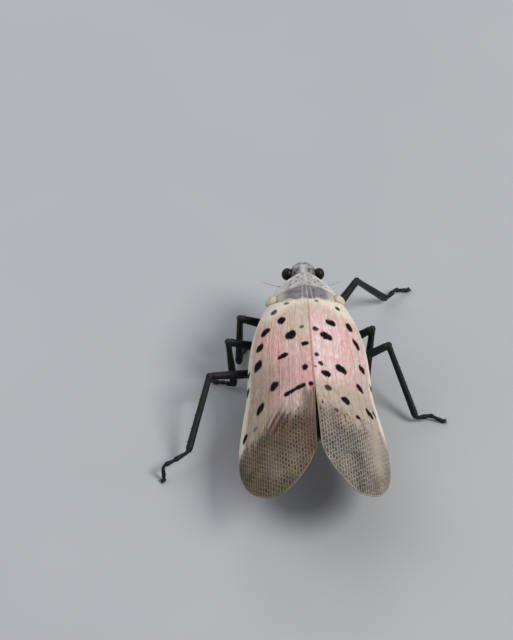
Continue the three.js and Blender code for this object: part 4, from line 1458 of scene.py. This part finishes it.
def body_origin():
    """Where the insect's own frame starts, from the eyes of the solids."""
    low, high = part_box("eye_left")
    far_low, far_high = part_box("eye_right")
    left, right = (low + high) / 2, (far_low + far_high) / 2
    return np.array([(left.x + right.x) / 2, left.y - EYE["centre"][1] * MM, 0.0])


ORIGIN = body_origin()


def build_insect():
    add_piece("head", head(), head_look(), "head", "head")
    add_piece("pronotum", pronotum(), pronotum_look(), "pronotum", "pronotum")
    add_piece("mesonotum", mesonotum(), mesonotum_look(), "mesonotum", "mesonotum")
    add_piece("thorax", thorax(), thorax_look(), "thorax", "thorax")
    add_piece("abdomen", abdomen(), abdomen_look(), "abdomen", "abdomen")
    leg, spine = leg_look(), spine_look()
    add_piece("beak", beak(), spine, "rostrum", "rostrum")
    hind = hindwing_look()
    shoulder, globe, bulb = tegula_look(), eye_look(), bulb_look()
    for name, side in SIDES:
        add_piece(f"eye_{name}", eye(side), globe, "eyes", f"eye_{name}")
        add_piece(f"antenna_{name}", antenna_bulb(side), bulb, "antennae", f"antenna_{name}")
        add_piece(f"bristle_{name}", antenna_bristle(side), spine, "antennae", f"antenna_{name}")
        add_piece(f"tegula_{name}", tegula(side), shoulder, "tegulae", f"tegula_{name}")
        wing = f"forewing_{name}"
        add_piece(wing, forewing_membrane(name, side), forewing_look(name), "forewings", wing)
        add_piece(f"{wing}_veins", forewing_veins(name, side), forewing_vein_look(name), "forewings", wing)
        add_piece(f"hindwing_{name}", hindwing_sheet(side), hind, "hindwings", f"hindwing_{name}")
    for number, name in enumerate(LEGS):
        nodes = [f"{segment}_{name}" for segment in ("coxa", "femur", "tibia", "tarsus")]
        add_piece(f"leg_{name}", leg_skin(name), leg, "legs", *nodes)
        add_piece(f"spines_{name}", leg_spines(name), spine, "legs", f"tibia_{name}")
        add_piece(f"claws_{name}", leg_claws(name), spine, "legs", f"tarsus_{name}")
        add_piece(f"hairs_{name}", leg_hairs(name, number), spine, "legs", f"femur_{name}")


# Camera, light and floor
FRAME_WIDTH, FRAME_HEIGHT = 513, 640
FOCAL_PIXELS = 4872.0
SENSOR = 36.0
CAMERA_AZIMUTH = math.radians(172)
CAMERA_ELEVATION = math.radians(50)
CAMERA_ROLL = math.radians(5.65)
CAMERA_DISTANCE = 420.0
AIM_POINT = (0.0, 12.0, 6.0)
AIM_PIXEL = (310.3, 376.0)
# Each light: its place, width, power and colour. All shine at one point just over the floor.
LIGHTS = {"key": ((-0.34, 0.12, 0.42), 0.26, 2.0, (1.0, 0.98, 0.95)),
          "fill": ((0.35, -0.15, 0.3), 0.4, 0.6, (0.92, 0.96, 1.0)),
          "rim": ((0.0, -0.45, 0.25), 0.3, 0.35, (1.0, 1.0, 1.0))}
LIGHT_AIM = (0, 0, 0.005)
SKY_COLOUR = (0.88, 0.9, 0.94, 1)
SKY_STRENGTH = 0.3
FLOOR_HALF = 3.0


def add_camera():
    """The photo's viewpoint. AIM_POINT shows at AIM_PIXEL, so the camera looks a little past it."""
    azimuth, elevation = CAMERA_AZIMUTH, CAMERA_ELEVATION
    back = Vector((math.sin(azimuth) * math.cos(elevation), -math.cos(azimuth) * math.cos(elevation),
                   math.sin(elevation)))
    level = Vector((math.cos(azimuth), math.sin(azimuth), 0))
    upright = back.cross(level)
    right = level * math.cos(CAMERA_ROLL) + upright * math.sin(CAMERA_ROLL)
    up = upright * math.cos(CAMERA_ROLL) - level * math.sin(CAMERA_ROLL)
    place = Vector(AIM_POINT) + back * CAMERA_DISTANCE
    past_right = (FRAME_WIDTH / 2 - AIM_PIXEL[0]) / FOCAL_PIXELS
    past_up = (AIM_PIXEL[1] - FRAME_HEIGHT / 2) / FOCAL_PIXELS
    ahead = (-back + right * past_right + up * past_up).normalized()
    right = ahead.cross(up).normalized()
    up = right.cross(ahead)
    camera = new_object("camera", bpy.data.cameras.new("camera"))
    turn = Matrix((right, up, -ahead)).transposed().to_4x4()
    camera.matrix_world = Matrix.Translation(place * MM + Vector(ORIGIN)) @ turn
    camera.data.sensor_width = SENSOR
    camera.data.lens = FOCAL_PIXELS * SENSOR / FRAME_HEIGHT
    camera.data.clip_start = 0.01
    camera.data.clip_end = 20.0
    bpy.context.scene.camera = camera


def add_light(name, place, size, power, colour):
    """Soft round light aimed at the insect."""
    data = bpy.data.lights.new(name, "AREA")
    data.shape = "DISK"
    data.size = size
    data.energy = power
    data.color = colour
    light = new_object(name, data)
    light.visible_camera = False
    light.location = place
    light.rotation_mode = "QUATERNION"
    light.rotation_quaternion = (Vector(LIGHT_AIM) - Vector(place)).to_track_quat("-Z", "Y")


def add_stage():
    mesh = bpy.data.meshes.new("floor")
    corners = [(FLOOR_HALF * x, FLOOR_HALF * y, 0) for x, y in ((-1, -1), (1, -1), (1, 1), (-1, 1))]
    mesh.from_pydata(corners, [], [(0, 1, 2, 3)])
    mesh.materials.append(floor_look())
    floor = new_object("floor", mesh)
    for name, values in LIGHTS.items():
        add_light(name, *values)
    world = bpy.data.worlds.new("studio")
    world.use_nodes = True
    world.node_tree.nodes["Background"].inputs["Color"].default_value = SKY_COLOUR
    world.node_tree.nodes["Background"].inputs["Strength"].default_value = SKY_STRENGTH
    bpy.context.scene.world = world
    bpy.context.scene.view_settings.view_transform = "Standard"


add_camera()
add_stage()
build_insect()
